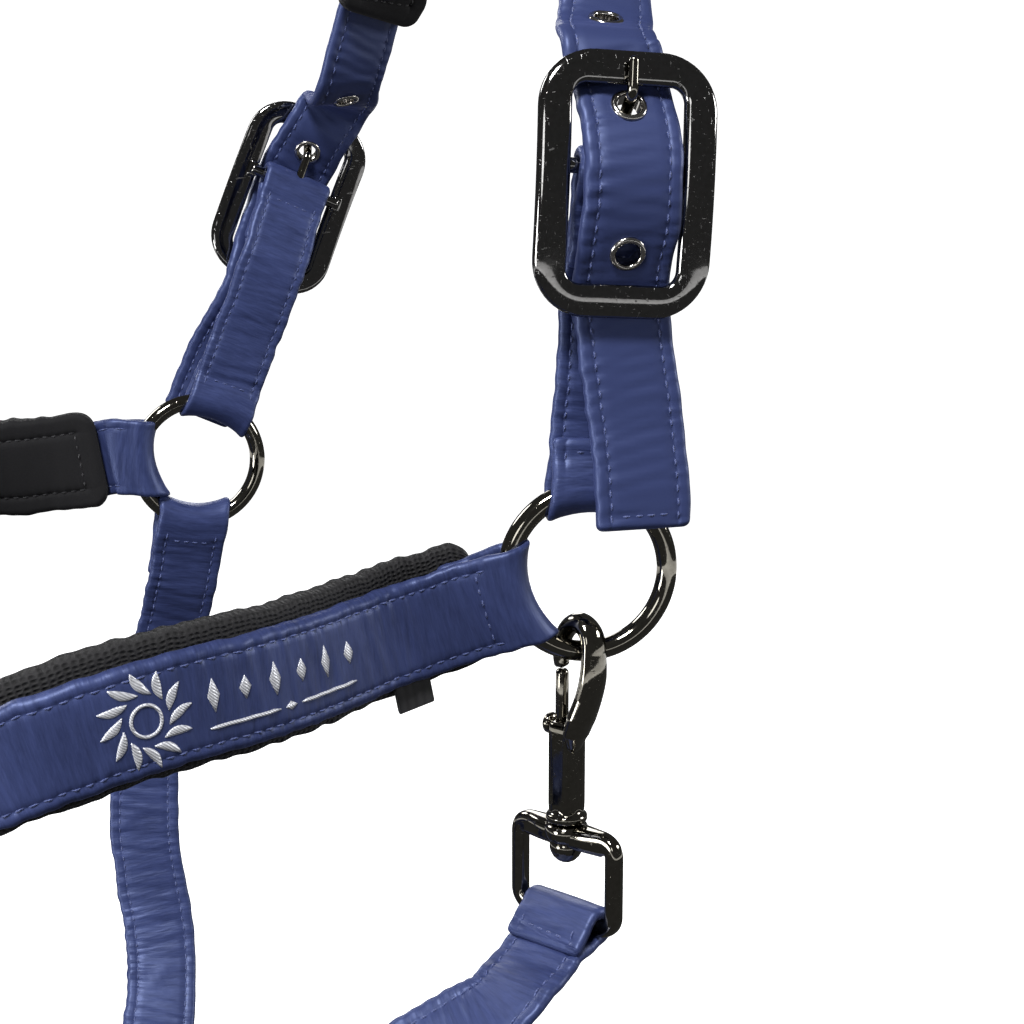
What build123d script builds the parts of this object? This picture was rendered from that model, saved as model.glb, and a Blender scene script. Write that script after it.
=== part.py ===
"""Full-size horse head collar with padded satin straps, two crown buckles and a swivel bolt snap.

Frame: the origin is the poll rest, the middle of the crown pad's underside. +Z is up, the nose points to -X,
the near (left) side of the head is -Y and the far side is +Y. Lengths are in millimetres.
"""

import os
from math import cos, radians, sin

from build123d import *

# ---------------------------------------------------------------- driving dimensions
STRAP_WIDTH = 25.5          # satin sleeve over 25 mm webbing
CHEEK_WIDTH = 27.0
STRAP_THICK = 3.4           # one layer
DOUBLE_THICK = 6.0          # two layers sewn together
CHEEK_THICK = 5.6           # cheek and nose straps, which carry a folded satin sleeve
FOLD_WIDTH = 23.0           # a strap gathers a little where it folds round metal
PAD_WIDTH = 34.5
PAD_THICK = 6.0
PAD_GAP = 0.15
CHEEK_PAD_GAP = 0.4         # the cheek and nose straps twist a little over their pads

RING_RADIUS = 21.75         # to the middle of the wire
RING_WIRE = 2.75            # wire radius
RING_CLEAR = 0.35           # between a ring's wire and the fabric round it
FOLD_INNER = 12.5           # from a ring's centre to the fold that goes through it
FOLD_NECK = 31.0            # from a ring's centre to where the layers lie flat together

BUCKLE_WIDTH = 46.0
BUCKLE_LENGTH = 66.0
BUCKLE_BAR = 8.5            # width of the flat frame bars
BUCKLE_THICK = 4.0
BUCKLE_CORNER = 12.0
BUCKLE_ARCH = 200.0         # radius the frame is arched to
CENTRE_BAR_RADIUS = 2.0
CENTRE_BAR_UP = 4.5         # the centre bar sits a little above the frame's middle
CENTRE_BAR_BACK = 0.6       # and a little behind it
TONGUE_RADIUS = 1.5
TONGUE_HOLE = 18.8          # height of the eyelet that the tongue goes through
EYELET_BORE = 3.2
EYELET_TUBE = 3.6
EYELET_FLANGE = 4.7
EYELET_LIP = 0.6
EYELET_LIFT = 0.15          # the flanges press on the strap's quilted face

HOOK_BAR = 2.6              # radius of the snap hook's bow
HOOK_HALF = 7.7             # half the width between the bow's two legs
HOOK_OFFSET = 4.5           # from the barrel's axis to the middle of the bow
BARREL_RADIUS = 4.7
BARREL_TOP = -20.5          # heights on the snap are measured from the middle of the ring's wire
BARREL_FOOT = -48.5
BOLT_RADIUS = 1.8
BOLT_OFFSET = -1.8
BOLT_TOP = -3.8
BOLT_FOOT = -32.0
SPRING_FOOT = -46.0
STUD_HEIGHT = -18.5
EYE_TOP = -48.9
EYE_FOOT = -78.5
EYE_WIDTH = 38.0
EYE_WIRE = 4.5
RIVET_RADIUS = 2.2
SWING_RADIUS = 100.0        # the throat strap's sewn end reaches this far from the ring's wire

UP = Vector(0, 0, 1)
ACROSS = Vector(1, 0, 0)    # a strap's width runs fore and aft over the poll and under the jaw

# ---------------------------------------------------------------- places on the head
NEAR_THROAT_RING = Vector(-10, -95, -200)
FAR_THROAT_RING = Vector(-60, 115, -195)
NEAR_NOSE_RING = Vector(-206, -95, -239)
FAR_NOSE_RING = Vector(-245, 95, -230)
CHIN_RING = Vector(-205, 0, -335)
NEAR_BUCKLE = Vector(-6, -105, -100)
FAR_BUCKLE = Vector(-21, 122, -101)

NEAR_BUCKLE_AXIS = Vector(5, 2, 100)            # long axes of the buckle frames
FAR_BUCKLE_AXIS = Vector(39, 1, 94)

NEAR_REAR = Vector(0.974, -0.225, 0)            # rearward in the plane of each ring
FAR_REAR = Vector(0.999, -0.045, 0)
NEAR_NOSE_REAR = Vector(0.995, -0.1, 0)
FAR_NOSE_REAR = Vector(0.995, 0.1, 0)
CHIN_REAR = Vector(0.966, 0, -0.259)
SIDEWAYS = Vector(0, 1, 0)


def ring_plane(centre, rear, side=UP):
    """Plane of a ring: X runs rearward and Y runs to the given side."""
    return Plane(origin=centre, x_dir=rear, z_dir=rear.cross(side))


def lying_on(centre, long_axis, level):
    """Plane whose Y is the long axis and whose X lies near the given level direction."""
    face = level.cross(long_axis)
    return Plane(origin=centre, x_dir=long_axis.cross(face), z_dir=face)


near_throat_plane = ring_plane(NEAR_THROAT_RING, NEAR_REAR)
far_throat_plane = ring_plane(FAR_THROAT_RING, FAR_REAR)
near_nose_plane = ring_plane(NEAR_NOSE_RING, NEAR_NOSE_REAR)
far_nose_plane = ring_plane(FAR_NOSE_RING, FAR_NOSE_REAR)
chin_plane = ring_plane(CHIN_RING, CHIN_REAR, SIDEWAYS)

# both buckles face outward, so X runs rearward on the near one and forward on the far one
near_buckle_plane = lying_on(NEAR_BUCKLE, NEAR_BUCKLE_AXIS, NEAR_REAR)
far_buckle_plane = lying_on(FAR_BUCKLE, FAR_BUCKLE_AXIS, -FAR_REAR)


def on_plane(plane, x, y, z=0.0):
    """Point at the given place on a plane."""
    return plane.origin + plane.x_dir * x + plane.y_dir * y + plane.z_dir * z


def away(plane, degrees):
    """Direction in a ring's plane, turned from rearward towards the plane's Y."""
    return plane.x_dir * cos(radians(degrees)) + plane.y_dir * sin(radians(degrees))


def leaving(plane, degrees, distance=FOLD_NECK - 2):
    """Point at a distance from a ring's centre, where a strap leaves the ring."""
    return plane.origin + away(plane, degrees) * distance


# ---------------------------------------------------------------- shared shapes
def sections(route, first=0.0, last=1.0, spans=24):
    """Cutting planes across a strap, evenly spaced along a curve through (point, across) stations."""
    path = Spline(*[point for point, across in route])
    knots = [path.param_at_point(point) for point, across in route]
    planes = []
    for i in range(spans + 1):
        t = first + (last - first) * i / spans
        k = max(j for j in range(len(knots) - 1) if knots[j] <= t + 1e-6)
        share = (t - knots[k]) / (knots[k + 1] - knots[k])
        across = route[k][1] * (1 - share) + route[k + 1][1] * share
        planes.append(Plane(origin=path @ t, x_dir=across, z_dir=path % t))
    return planes


def station_plane(route, index):
    """Plane lying on a strap's face at one of its stations, with Z out of the face."""
    path = Spline(*[point for point, across in route])
    along = path % path.param_at_point(route[index][0])
    return Plane(origin=route[index][0], x_dir=route[index][1], z_dir=along.cross(route[index][1]))


def strip(planes, width, thick, lift=0.0, shift=0.0):
    """A strap or pad: rectangles on the cutting planes joined by flat spans. Lift is out of its face."""
    with BuildPart() as band:
        for plane in planes:
            with BuildSketch(plane):
                with Locations((shift, lift)):
                    Rectangle(width, thick)
        loft(ruled=True)
    return band.part


def ring_fold(plane, degrees, neck_radius):
    """The end of a strap folded round a ring's wire, leaving the ring in the given direction."""
    toward = away(plane, degrees)
    with BuildPart() as fold:
        with BuildSketch(Plane(origin=plane.origin, x_dir=toward, z_dir=plane.z_dir.cross(toward))):
            with Locations((FOLD_INNER + 6.4, 0), (RING_RADIUS, 0)):
                Circle(6.4)
            with Locations((FOLD_NECK, 0)):
                Circle(neck_radius)
            make_hull()
        extrude(amount=FOLD_WIDTH / 2, both=True)
        with Locations(plane.location):
            Torus(RING_RADIUS, RING_WIRE + RING_CLEAR, mode=Mode.SUBTRACT)
    return fold.part


def ring(plane):
    """A round welded ring."""
    with BuildPart() as loop:
        with Locations(plane.location):
            Torus(RING_RADIUS, RING_WIRE)
    return loop.part


def save(part, label):
    """Label a finished piece and write it."""
    part.label = label
    export_step(part, f"parts/{label}.step")


os.makedirs("parts", exist_ok=True)

# ---------------------------------------------------------------- rings
for name, plane in (
    ("near_throat_ring", near_throat_plane),
    ("far_throat_ring", far_throat_plane),
    ("near_nose_ring", near_nose_plane),
    ("far_nose_ring", far_nose_plane),
    ("chin_ring", chin_plane),
):
    save(ring(plane), name)


# ---------------------------------------------------------------- crown buckles
def buckle_frame(plane):
    """Arched rectangular frame with a round centre bar held in two lugs."""
    half_opening = BUCKLE_WIDTH / 2 - BUCKLE_BAR
    arch_centre = BUCKLE_ARCH + 2.2
    with BuildPart() as frame:
        with BuildSketch(plane.offset(-10)):
            RectangleRounded(BUCKLE_WIDTH, BUCKLE_LENGTH, BUCKLE_CORNER)
            RectangleRounded(2 * half_opening, BUCKLE_LENGTH - 2 * BUCKLE_BAR, 4, mode=Mode.SUBTRACT)
        extrude(amount=20)
        side_view = Plane(origin=plane.origin, x_dir=plane.y_dir, z_dir=plane.x_dir)
        with BuildSketch(side_view):
            with Locations((0, 2.2 - BUCKLE_ARCH)):
                Circle(BUCKLE_ARCH + BUCKLE_THICK / 2)
                Circle(BUCKLE_ARCH - BUCKLE_THICK / 2, mode=Mode.SUBTRACT)
        extrude(amount=BUCKLE_WIDTH, both=True, mode=Mode.INTERSECT)
        with BuildSketch(side_view):
            with Locations((CENTRE_BAR_UP, -CENTRE_BAR_BACK)):
                Circle(CENTRE_BAR_RADIUS)
        extrude(amount=half_opening + 3, both=True)
        for side in (-1, 1):
            with Locations(Plane(on_plane(plane, side * (half_opening + 2), CENTRE_BAR_UP, 0),
                                 x_dir=plane.x_dir, z_dir=plane.z_dir).location):
                Box(3.2, 6, 4.4)
    return frame.part


def buckle_tongue(plane):
    """Round tongue with an eye about the centre bar, bent up through the strap and onto the top bar."""
    side_view = Plane(origin=plane.origin, x_dir=plane.y_dir, z_dir=plane.x_dir)
    with BuildPart() as tongue:
        with BuildSketch(side_view):
            with Locations((CENTRE_BAR_UP, -CENTRE_BAR_BACK)):
                Circle(3.9)
        extrude(amount=1.6, both=True)
        with BuildLine(side_view):
            FilletPolyline((6.5, -1.6), (16.8, -2.7), (23.0, 4.6), (31.5, 4.6), radius=2.6)
        start = Plane(origin=on_plane(plane, 0, 6.5, -1.6),
                      x_dir=plane.x_dir, z_dir=plane.y_dir * 10.3 - plane.z_dir * 1.1)
        with BuildSketch(start):
            Circle(TONGUE_RADIUS)
        sweep()
        with BuildSketch(side_view):
            with Locations((CENTRE_BAR_UP, -CENTRE_BAR_BACK)):
                Circle(CENTRE_BAR_RADIUS + 0.06)
        extrude(amount=5, both=True, mode=Mode.SUBTRACT)
    return tongue.part


def eyelet(plane):
    """Rolled metal eyelet through one strap layer."""
    half = STRAP_THICK / 2 + EYELET_LIFT
    profile = Plane(origin=plane.origin, x_dir=plane.x_dir, z_dir=plane.x_dir.cross(plane.z_dir))
    with BuildPart() as collar:
        with BuildSketch(profile):
            with BuildLine():
                Polyline(
                    (EYELET_BORE, -half - EYELET_LIP), (EYELET_FLANGE, -half - EYELET_LIP),
                    (EYELET_FLANGE, -half), (EYELET_TUBE, -half), (EYELET_TUBE, half),
                    (EYELET_FLANGE, half), (EYELET_FLANGE, half + EYELET_LIP),
                    (EYELET_BORE, half + EYELET_LIP), close=True,
                )
            make_face()
        revolve(axis=Axis(plane.origin, plane.z_dir))
    return collar.part


for side, plane in (("near", near_buckle_plane), ("far", far_buckle_plane)):
    save(buckle_frame(plane), f"{side}_buckle_frame")
    save(buckle_tongue(plane), f"{side}_buckle_tongue")


# ---------------------------------------------------------------- crown strap, its pad and eyelets
def billet(plane, lean, end_lean, clear):
    """Stations of one billet from above the buckle to its free end, which hangs clear of the ring's fold."""
    width = plane.x_dir if plane is near_buckle_plane else -plane.x_dir
    places = (
        (lean, 34.5, -5.9), (lean / 3, 26.5, -4.65), (0.1, TONGUE_HOLE, -0.4), (0.8, CENTRE_BAR_UP, 5.7),
        (1.3, -16.2, 0.4), (1.6, -26, -4.5), (0.3 * end_lean, -34, -5.7), (0.5 * end_lean, -46, -5.0),
        (0.75 * end_lean, -62, clear - 1.8), (0.9 * end_lean, -75, clear), (end_lean, -87, clear + 0.3),
    )
    return [(on_plane(plane, *place), width) for place in places]


far_billet = billet(far_buckle_plane, -2, 4, 3.8)
near_billet = billet(near_buckle_plane, -3.5, 10, -1.8)
crown_route = far_billet[::-1] + [
    (Vector(-8.6, 95, -66), Vector(0.97, 0.15, 0.1)),
    (Vector(-3.5, 80, -36), Vector(0.96, 0.27, 0)),
    (Vector(-1, 56, -9), Vector(0.98, 0.15, 0)),
    (Vector(0, 0, PAD_THICK + PAD_GAP + STRAP_THICK / 2), ACROSS),
    (Vector(3, -24, 3), ACROSS),
    (Vector(6, -52, -14), ACROSS),
    (Vector(5.5, -72, -43), ACROSS),
    (Vector(0.3, -82.5, -58.6), Vector(0.98, -0.15, 0)),
] + near_billet
NEAR_EYELETS = (18, 21, 23)         # stations of the crown route that carry an eyelet
FAR_EYELETS = (6, 8, 11)

near_eyelet_planes = [station_plane(crown_route, i) for i in NEAR_EYELETS]
far_eyelet_planes = [station_plane(crown_route, i) for i in FAR_EYELETS]

crown_planes = sections(crown_route, spans=72)

with BuildPart() as crown_strap:
    add(strip(crown_planes, STRAP_WIDTH, STRAP_THICK))
    for plane in near_eyelet_planes + far_eyelet_planes:
        with Locations(plane.location):
            Cylinder(EYELET_TUBE + 0.05, 12, mode=Mode.SUBTRACT)
        seat = STRAP_THICK / 2 + EYELET_LIFT
        with Locations(plane.offset(seat + 1).location, plane.offset(-seat - 1).location):
            Cylinder(EYELET_FLANGE + 0.1, 2, mode=Mode.SUBTRACT)
save(crown_strap.part, "crown_strap")

for side, planes in (("near", near_eyelet_planes), ("far", far_eyelet_planes)):
    with BuildPart() as collars:
        for plane in planes:
            add(eyelet(plane))
    save(collars.part, f"{side}_eyelets")

crown_pad_lift = -(STRAP_THICK + PAD_THICK) / 2 - PAD_GAP
poll_planes = [plane for plane in crown_planes if plane.origin.Z > -40]
save(strip(poll_planes, PAD_WIDTH, PAD_THICK, crown_pad_lift), "crown_pad")


# ---------------------------------------------------------------- hangers between throat rings and buckles
def hanger(ring_at, degrees, plane):
    """Doubled strap folded round a throat ring below and round a buckle's centre bar above."""
    width = plane.x_dir
    foot = leaving(ring_at, degrees) - plane.origin
    drift = foot.dot(plane.x_dir)
    settle = foot.dot(plane.z_dir)
    route = [
        (leaving(ring_at, degrees), width),
        (on_plane(plane, 0.8 * drift, -58, 0.6 * settle - 4.2), width),
        (on_plane(plane, 0.6 * drift, -46, 0.2 * settle - 8.6), width),
        (on_plane(plane, 0.4 * drift, -35, -10.9), width),
        (on_plane(plane, 0, -25, -9.6), width),
        (on_plane(plane, 0, -12, -6.2), width),
        (on_plane(plane, 0, -3, -3.4), width),
    ]
    side_view = Plane(origin=plane.origin, x_dir=plane.y_dir, z_dir=plane.x_dir)
    with BuildPart() as doubled:
        add(ring_fold(ring_at, degrees, DOUBLE_THICK / 2))
        add(strip(sections(route, spans=14), STRAP_WIDTH - 1, DOUBLE_THICK))
        with BuildSketch(side_view):
            with Locations((CENTRE_BAR_UP, -CENTRE_BAR_BACK)):
                Circle(4.2)
            with Locations((-4, -3.6)):
                Circle(DOUBLE_THICK / 2)
            make_hull()
        extrude(amount=FOLD_WIDTH / 2, both=True)
        with BuildSketch(side_view):
            with Locations((CENTRE_BAR_UP, -CENTRE_BAR_BACK)):
                Circle(CENTRE_BAR_RADIUS + 0.1)
        extrude(amount=BUCKLE_WIDTH / 2, both=True, mode=Mode.SUBTRACT)
        with Locations(Plane(on_plane(plane, 0, 6, 0), x_dir=plane.x_dir, z_dir=plane.z_dir).location):
            Box(4.6, 13, 14, mode=Mode.SUBTRACT)
    return doubled.part


save(hanger(near_throat_plane, 86.5, near_buckle_plane), "near_buckle_strap")
save(hanger(far_throat_plane, 67.5, far_buckle_plane), "far_buckle_strap")


# ---------------------------------------------------------------- cheek straps and pads
def joined_strap(planes, ends, width, thick):
    """Strap on the given cutting planes with a fold round a ring at each end."""
    with BuildPart() as strap:
        add(strip(planes, width, thick))
        for plane, degrees in ends:
            add(ring_fold(plane, degrees, thick / 2))
    return strap.part


NEAR_CHEEK_LEAVES = 196
FAR_CHEEK_LEAVES = 174
CHEEK_ARRIVES = 10
near_cheek_down = Vector(0.22, 0, -0.975)
near_cheek_route = [
    (leaving(near_throat_plane, NEAR_CHEEK_LEAVES), near_cheek_down),
    (leaving(near_throat_plane, NEAR_CHEEK_LEAVES, 48), near_cheek_down),
    (Vector(-95, -101, -217.5), Vector(0.19, 0, -0.98)),
    (Vector(-137, -111, -221), Vector(0.18, 0, -0.98)),
    (Vector(-166, -107, -229), Vector(0.18, 0, -0.98)),
    (leaving(near_nose_plane, CHEEK_ARRIVES), Vector(0.17, 0, -0.98)),
]
far_cheek_route = [
    (leaving(far_throat_plane, FAR_CHEEK_LEAVES), Vector(0, 0, 1)),
    (Vector(-112, 129, -195), Vector(0, -0.1, 1)),
    (Vector(-150, 139, -197), Vector(0, -0.25, 1)),
    (Vector(-190, 126, -208), Vector(0.05, -0.1, 1)),
    (leaving(far_nose_plane, CHEEK_ARRIVES), Vector(-0.17, 0, 0.98)),
]
near_cheek_ends = ((near_throat_plane, NEAR_CHEEK_LEAVES), (near_nose_plane, CHEEK_ARRIVES))
far_cheek_ends = ((far_throat_plane, FAR_CHEEK_LEAVES), (far_nose_plane, CHEEK_ARRIVES))
near_cheek_planes = sections(near_cheek_route, spans=30)
far_cheek_planes = sections(far_cheek_route, spans=36)
save(joined_strap(near_cheek_planes, near_cheek_ends, CHEEK_WIDTH, CHEEK_THICK), "near_cheek_strap")
save(joined_strap(far_cheek_planes, far_cheek_ends, CHEEK_WIDTH, CHEEK_THICK), "far_cheek_strap")

padded_lift = -(CHEEK_THICK + PAD_THICK) / 2 - CHEEK_PAD_GAP
save(strip(near_cheek_planes[1:-2], PAD_WIDTH, PAD_THICK, padded_lift, -1), "near_cheek_pad")
save(strip(far_cheek_planes[3:-2], PAD_WIDTH, PAD_THICK, padded_lift, 1), "far_cheek_pad")

# folded size tab, held below the near cheek strap's lower edge
tab_plane = sections(near_cheek_route, 0.15, 1.0, 1)[0]
with BuildPart(tab_plane) as size_tab:
    with Locations((CHEEK_WIDTH / 2 + 3.4, -1.0, 0)):
        Box(6.6, 1.6, 10.5)
save(size_tab.part, "size_tab")

# ---------------------------------------------------------------- noseband and its pad
NOSE_LEAVES = 130
noseband_route = [
    (leaving(near_nose_plane, NOSE_LEAVES), Vector(-0.77, 0, -0.64)),
    (Vector(-240, -84, -190), Vector(-0.74, -0.1, -0.66)),
    (Vector(-258, -52, -172), Vector(-0.6, -0.1, -0.78)),
    (Vector(-268, 0, -164), Vector(-0.5, 0, -0.87)),
    (Vector(-270, 52, -170), Vector(-0.6, 0.1, -0.78)),
    (Vector(-268, 84, -185), Vector(-0.74, 0.1, -0.66)),
    (leaving(far_nose_plane, NOSE_LEAVES), Vector(-0.77, 0, -0.64)),
]
noseband_ends = ((near_nose_plane, NOSE_LEAVES), (far_nose_plane, NOSE_LEAVES))
noseband_planes = sections(noseband_route, spans=40)
save(joined_strap(noseband_planes, noseband_ends, CHEEK_WIDTH, CHEEK_THICK), "noseband_strap")
save(strip(noseband_planes[2:-2], PAD_WIDTH, PAD_THICK, padded_lift), "noseband_pad")

# ---------------------------------------------------------------- chin straps and jowl strap
CHIN_LEAVES = 250
near_side_width = chin_plane.x_dir * 0.866 - chin_plane.y_dir * 0.5
far_side_width = chin_plane.x_dir * 0.866 + chin_plane.y_dir * 0.5
near_chin_route = [
    (leaving(near_nose_plane, CHIN_LEAVES), Vector(0.94, 0, -0.34)),
    (Vector(-216, -88, -292), Vector(0.97, 0, -0.2)),
    (Vector(-219, -66, -322), Vector(0.97, 0.2, -0.2)),
    (leaving(chin_plane, 240, 42), near_side_width),
    (leaving(chin_plane, 240), near_side_width),
]
far_chin_route = [
    (leaving(chin_plane, 120), far_side_width),
    (leaving(chin_plane, 120, 42), far_side_width),
    (Vector(-226, 66, -321), Vector(0.97, -0.2, -0.1)),
    (Vector(-244, 88, -288), Vector(0.97, 0, -0.2)),
    (leaving(far_nose_plane, CHIN_LEAVES), Vector(0.94, 0, -0.34)),
]
near_chin_ends = ((near_nose_plane, CHIN_LEAVES), (chin_plane, 240))
far_chin_ends = ((chin_plane, 120), (far_nose_plane, CHIN_LEAVES))
near_chin_planes = sections(near_chin_route, spans=18)
far_chin_planes = sections(far_chin_route, spans=18)
save(joined_strap(near_chin_planes, near_chin_ends, STRAP_WIDTH, DOUBLE_THICK), "near_chin_strap")
save(joined_strap(far_chin_planes, far_chin_ends, STRAP_WIDTH, DOUBLE_THICK), "far_chin_strap")

# ---------------------------------------------------------------- swivel bolt snap
# the snap's own plane holds its hook: X is the width of its rectangular eye and Y is up
HOOK_ANGLE = -95                                # where the hook rides on the near throat ring
snap_width = Vector(0.39, -0.92, 0).normalized()
pivot = leaving(near_throat_plane, HOOK_ANGLE, RING_RADIUS)
swing_axis = away(near_throat_plane, HOOK_ANGLE + 90)
snap_plane = Plane(origin=pivot - snap_width * HOOK_OFFSET, x_dir=snap_width, z_dir=snap_width.cross(UP))


def snap_level(height, x=0.0):
    """Horizontal plane on the snap's axis at a height."""
    return Plane(origin=on_plane(snap_plane, x, height), x_dir=snap_width, z_dir=UP)


left_leg = HOOK_OFFSET - HOOK_HALF
right_leg = HOOK_OFFSET + HOOK_HALF
bow_top = 9.0 - HOOK_BAR

with BuildPart() as snap_hook:
    with BuildLine(snap_plane):
        FilletPolyline((2.0, -25), (right_leg, -11.5), (right_leg, bow_top), (left_leg, bow_top),
                       (left_leg, -3.3), radius=HOOK_HALF - 0.1)
    with BuildSketch(Plane(origin=on_plane(snap_plane, 2.0, -25), x_dir=snap_plane.z_dir,
                           z_dir=snap_plane.x_dir * (right_leg - 2.0) + snap_plane.y_dir * 13.5)):
        Circle(HOOK_BAR)
    sweep()
    with BuildSketch(snap_level(BARREL_FOOT)):
        Circle(BARREL_RADIUS)
    extrude(amount=BARREL_TOP - BARREL_FOOT)
    with BuildSketch(snap_level(BARREL_FOOT)):
        Circle(BARREL_RADIUS + 1)
    extrude(amount=2.4)
    with BuildSketch(snap_level(SPRING_FOOT, BOLT_OFFSET)):
        Circle(BOLT_RADIUS + 0.06)
    extrude(amount=BARREL_TOP - SPRING_FOOT + 4, mode=Mode.SUBTRACT)
    with BuildSketch(snap_level(-31, BOLT_OFFSET - 4)):
        Rectangle(8, 3.2)
    extrude(amount=BARREL_TOP + 31 + 3, mode=Mode.SUBTRACT)
save(snap_hook.part, "snap_hook")

with BuildPart() as snap_bolt:
    with BuildSketch(snap_level(BOLT_FOOT, BOLT_OFFSET)):
        Circle(BOLT_RADIUS)
    extrude(amount=BOLT_TOP - BOLT_FOOT)
    stud_root = Plane(origin=on_plane(snap_plane, BOLT_OFFSET, STUD_HEIGHT), x_dir=UP, z_dir=-snap_width)
    with BuildSketch(stud_root):
        Circle(1.3)
    extrude(amount=6)
    with BuildSketch(stud_root.offset(5)):
        RectangleRounded(6.4, 5.0, 2.0)
    extrude(amount=2.4)
save(snap_bolt.part, "snap_bolt")

with BuildPart() as snap_spring:
    with BuildSketch(snap_level(SPRING_FOOT, BOLT_OFFSET)):
        Circle(BOLT_RADIUS - 0.2)
        Circle(BOLT_RADIUS - 0.7, mode=Mode.SUBTRACT)
    extrude(amount=BOLT_FOOT - SPRING_FOOT)
save(snap_spring.part, "snap_spring")

with BuildPart() as snap_rivet:
    dome_top = EYE_TOP - 5.2 - BARREL_FOOT      # measured down from the barrel's foot
    with BuildSketch(Plane(origin=on_plane(snap_plane, 0, BARREL_FOOT), x_dir=snap_width,
                           z_dir=snap_plane.z_dir)):
        with BuildLine():
            shank = Polyline((0, 0), (RIVET_RADIUS, 0), (RIVET_RADIUS, dome_top),
                             (4.6, dome_top), (4.6, dome_top - 2.2))
            belly = ThreePointArc(shank @ 1, (3.4, dome_top - 5.0), (1.2, dome_top - 6.4))
            Polyline(belly @ 1, (0, dome_top - 8.2), (0, 0))
        make_face()
    revolve(axis=Axis(on_plane(snap_plane, 0, 0), UP))
save(snap_rivet.part, "snap_rivet")

with BuildPart() as snap_eye:
    eye_height = EYE_TOP - EYE_FOOT
    with BuildSketch(snap_plane.offset(-EYE_WIRE / 2)):
        with Locations((0, (EYE_TOP + EYE_FOOT) / 2)):
            RectangleRounded(EYE_WIDTH, eye_height, 5)
            RectangleRounded(EYE_WIDTH - 2 * EYE_WIRE, eye_height - 2 * EYE_WIRE, 2, mode=Mode.SUBTRACT)
    extrude(amount=EYE_WIRE)
    with BuildSketch(snap_level(EYE_TOP - 5)):
        Circle(6)
    extrude(amount=5)
    with BuildSketch(snap_level(EYE_TOP - 6)):
        Circle(RIVET_RADIUS + 0.06)
    extrude(amount=7, mode=Mode.SUBTRACT)
save(snap_eye.part, "snap_eye")

# ---------------------------------------------------------------- throat strap and its sewn end
eye_bar = on_plane(snap_plane, 0, EYE_FOOT + EYE_WIRE / 2)
end_direction = (Vector(-0.92, -0.39, 0) * cos(radians(30)) - UP * sin(radians(30))).normalized()
THROAT_ARRIVES = 261
throat_route = [
    (eye_bar + end_direction * 5, snap_width),
    (eye_bar + end_direction * 18, snap_width),
    (eye_bar + end_direction * 31, snap_width),
    (Vector(-54, -94, -327), Vector(0.55, -0.83, 0)),
    (Vector(-74, -78, -348), Vector(0.8, -0.5, 0)),
    (Vector(-88, -48, -378), Vector(0.97, -0.2, 0)),
    (Vector(-95, -16, -400), ACROSS),
    (Vector(-96, 14, -415), ACROSS),
    (Vector(-95, 48, -421), ACROSS),
    (Vector(-91, 84, -412), ACROSS),
    (Vector(-81, 112, -384), Vector(0.97, -0.15, 0)),
    (Vector(-82, 128, -340), Vector(0.94, -0.3, 0)),
    (Vector(-76, 132, -292), Vector(0.95, -0.25, 0)),
    (Vector(-67.5, 121, -246), Vector(0.99, -0.1, 0)),
    (leaving(far_throat_plane, THROAT_ARRIVES), away(far_throat_plane, THROAT_ARRIVES + 90)),
]
swing_plane = Plane(origin=pivot, x_dir=near_throat_plane.z_dir, z_dir=swing_axis)

with BuildPart() as throat_strap_end:
    add(strip(sections(throat_route, 0, 0.12, 12), FOLD_WIDTH, DOUBLE_THICK))
    with Locations(swing_plane.location):
        Cylinder(SWING_RADIUS, 300, mode=Mode.INTERSECT)
    with BuildSketch(Plane(origin=eye_bar, x_dir=end_direction, z_dir=snap_width)):
        Circle(5.6)
        with Locations((9, 0)):
            Circle(DOUBLE_THICK / 2)
        make_hull()
    extrude(amount=FOLD_WIDTH / 2, both=True)
    with Locations(Plane(origin=eye_bar, x_dir=snap_width, z_dir=snap_plane.z_dir).location):
        Box(EYE_WIDTH, EYE_WIRE + 0.1, EYE_WIRE + 0.1, mode=Mode.SUBTRACT)
save(throat_strap_end.part, "throat_strap_end")

with BuildPart() as throat_strap:
    add(strip(sections(throat_route, 0.03, 1.0, 60), STRAP_WIDTH, STRAP_THICK))
    with Locations(swing_plane.location):
        Cylinder(SWING_RADIUS + 0.5, 300, mode=Mode.SUBTRACT)
    add(ring_fold(far_throat_plane, THROAT_ARRIVES, STRAP_THICK / 2))
save(throat_strap.part, "throat_strap")

# ---------------------------------------------------------------- jowl strap, sleeved over the throat strap
throat_bottom = station_plane(throat_route, 7)      # Z points down, out of the strap's outer face
jowl_end = on_plane(throat_bottom, -STRAP_WIDTH / 2 - 4, 0)
jowl_route = [
    (leaving(chin_plane, 0), -SIDEWAYS),
    (leaving(chin_plane, 0, 48), -SIDEWAYS),
    (Vector(-140, 10, -384), -SIDEWAYS),
    (jowl_end, throat_bottom.y_dir),
]
with BuildPart() as jowl_strap:
    add(strip(sections(jowl_route, spans=14), FOLD_WIDTH, STRAP_THICK))
    add(ring_fold(chin_plane, 0, STRAP_THICK / 2))
    with BuildSketch(Plane(origin=throat_bottom.origin, x_dir=throat_bottom.x_dir,
                           z_dir=throat_bottom.y_dir)):
        RectangleRounded(STRAP_WIDTH + 8, STRAP_THICK + 6, 3)
        Rectangle(STRAP_WIDTH + 1, STRAP_THICK + 1.8, mode=Mode.SUBTRACT)
    extrude(amount=FOLD_WIDTH / 2, both=True)
save(jowl_strap.part, "jowl_strap")
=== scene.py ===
"""A horse head collar: satin straps, padded cheek straps and noseband, crown buckles, rings and a bolt snap.

The frame is the CAD model's: the origin is the poll rest, +Z is up, the nose points to -X and the near side
is -Y. Shapes are worked out in millimetres and written to Blender in metres.
"""

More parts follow.
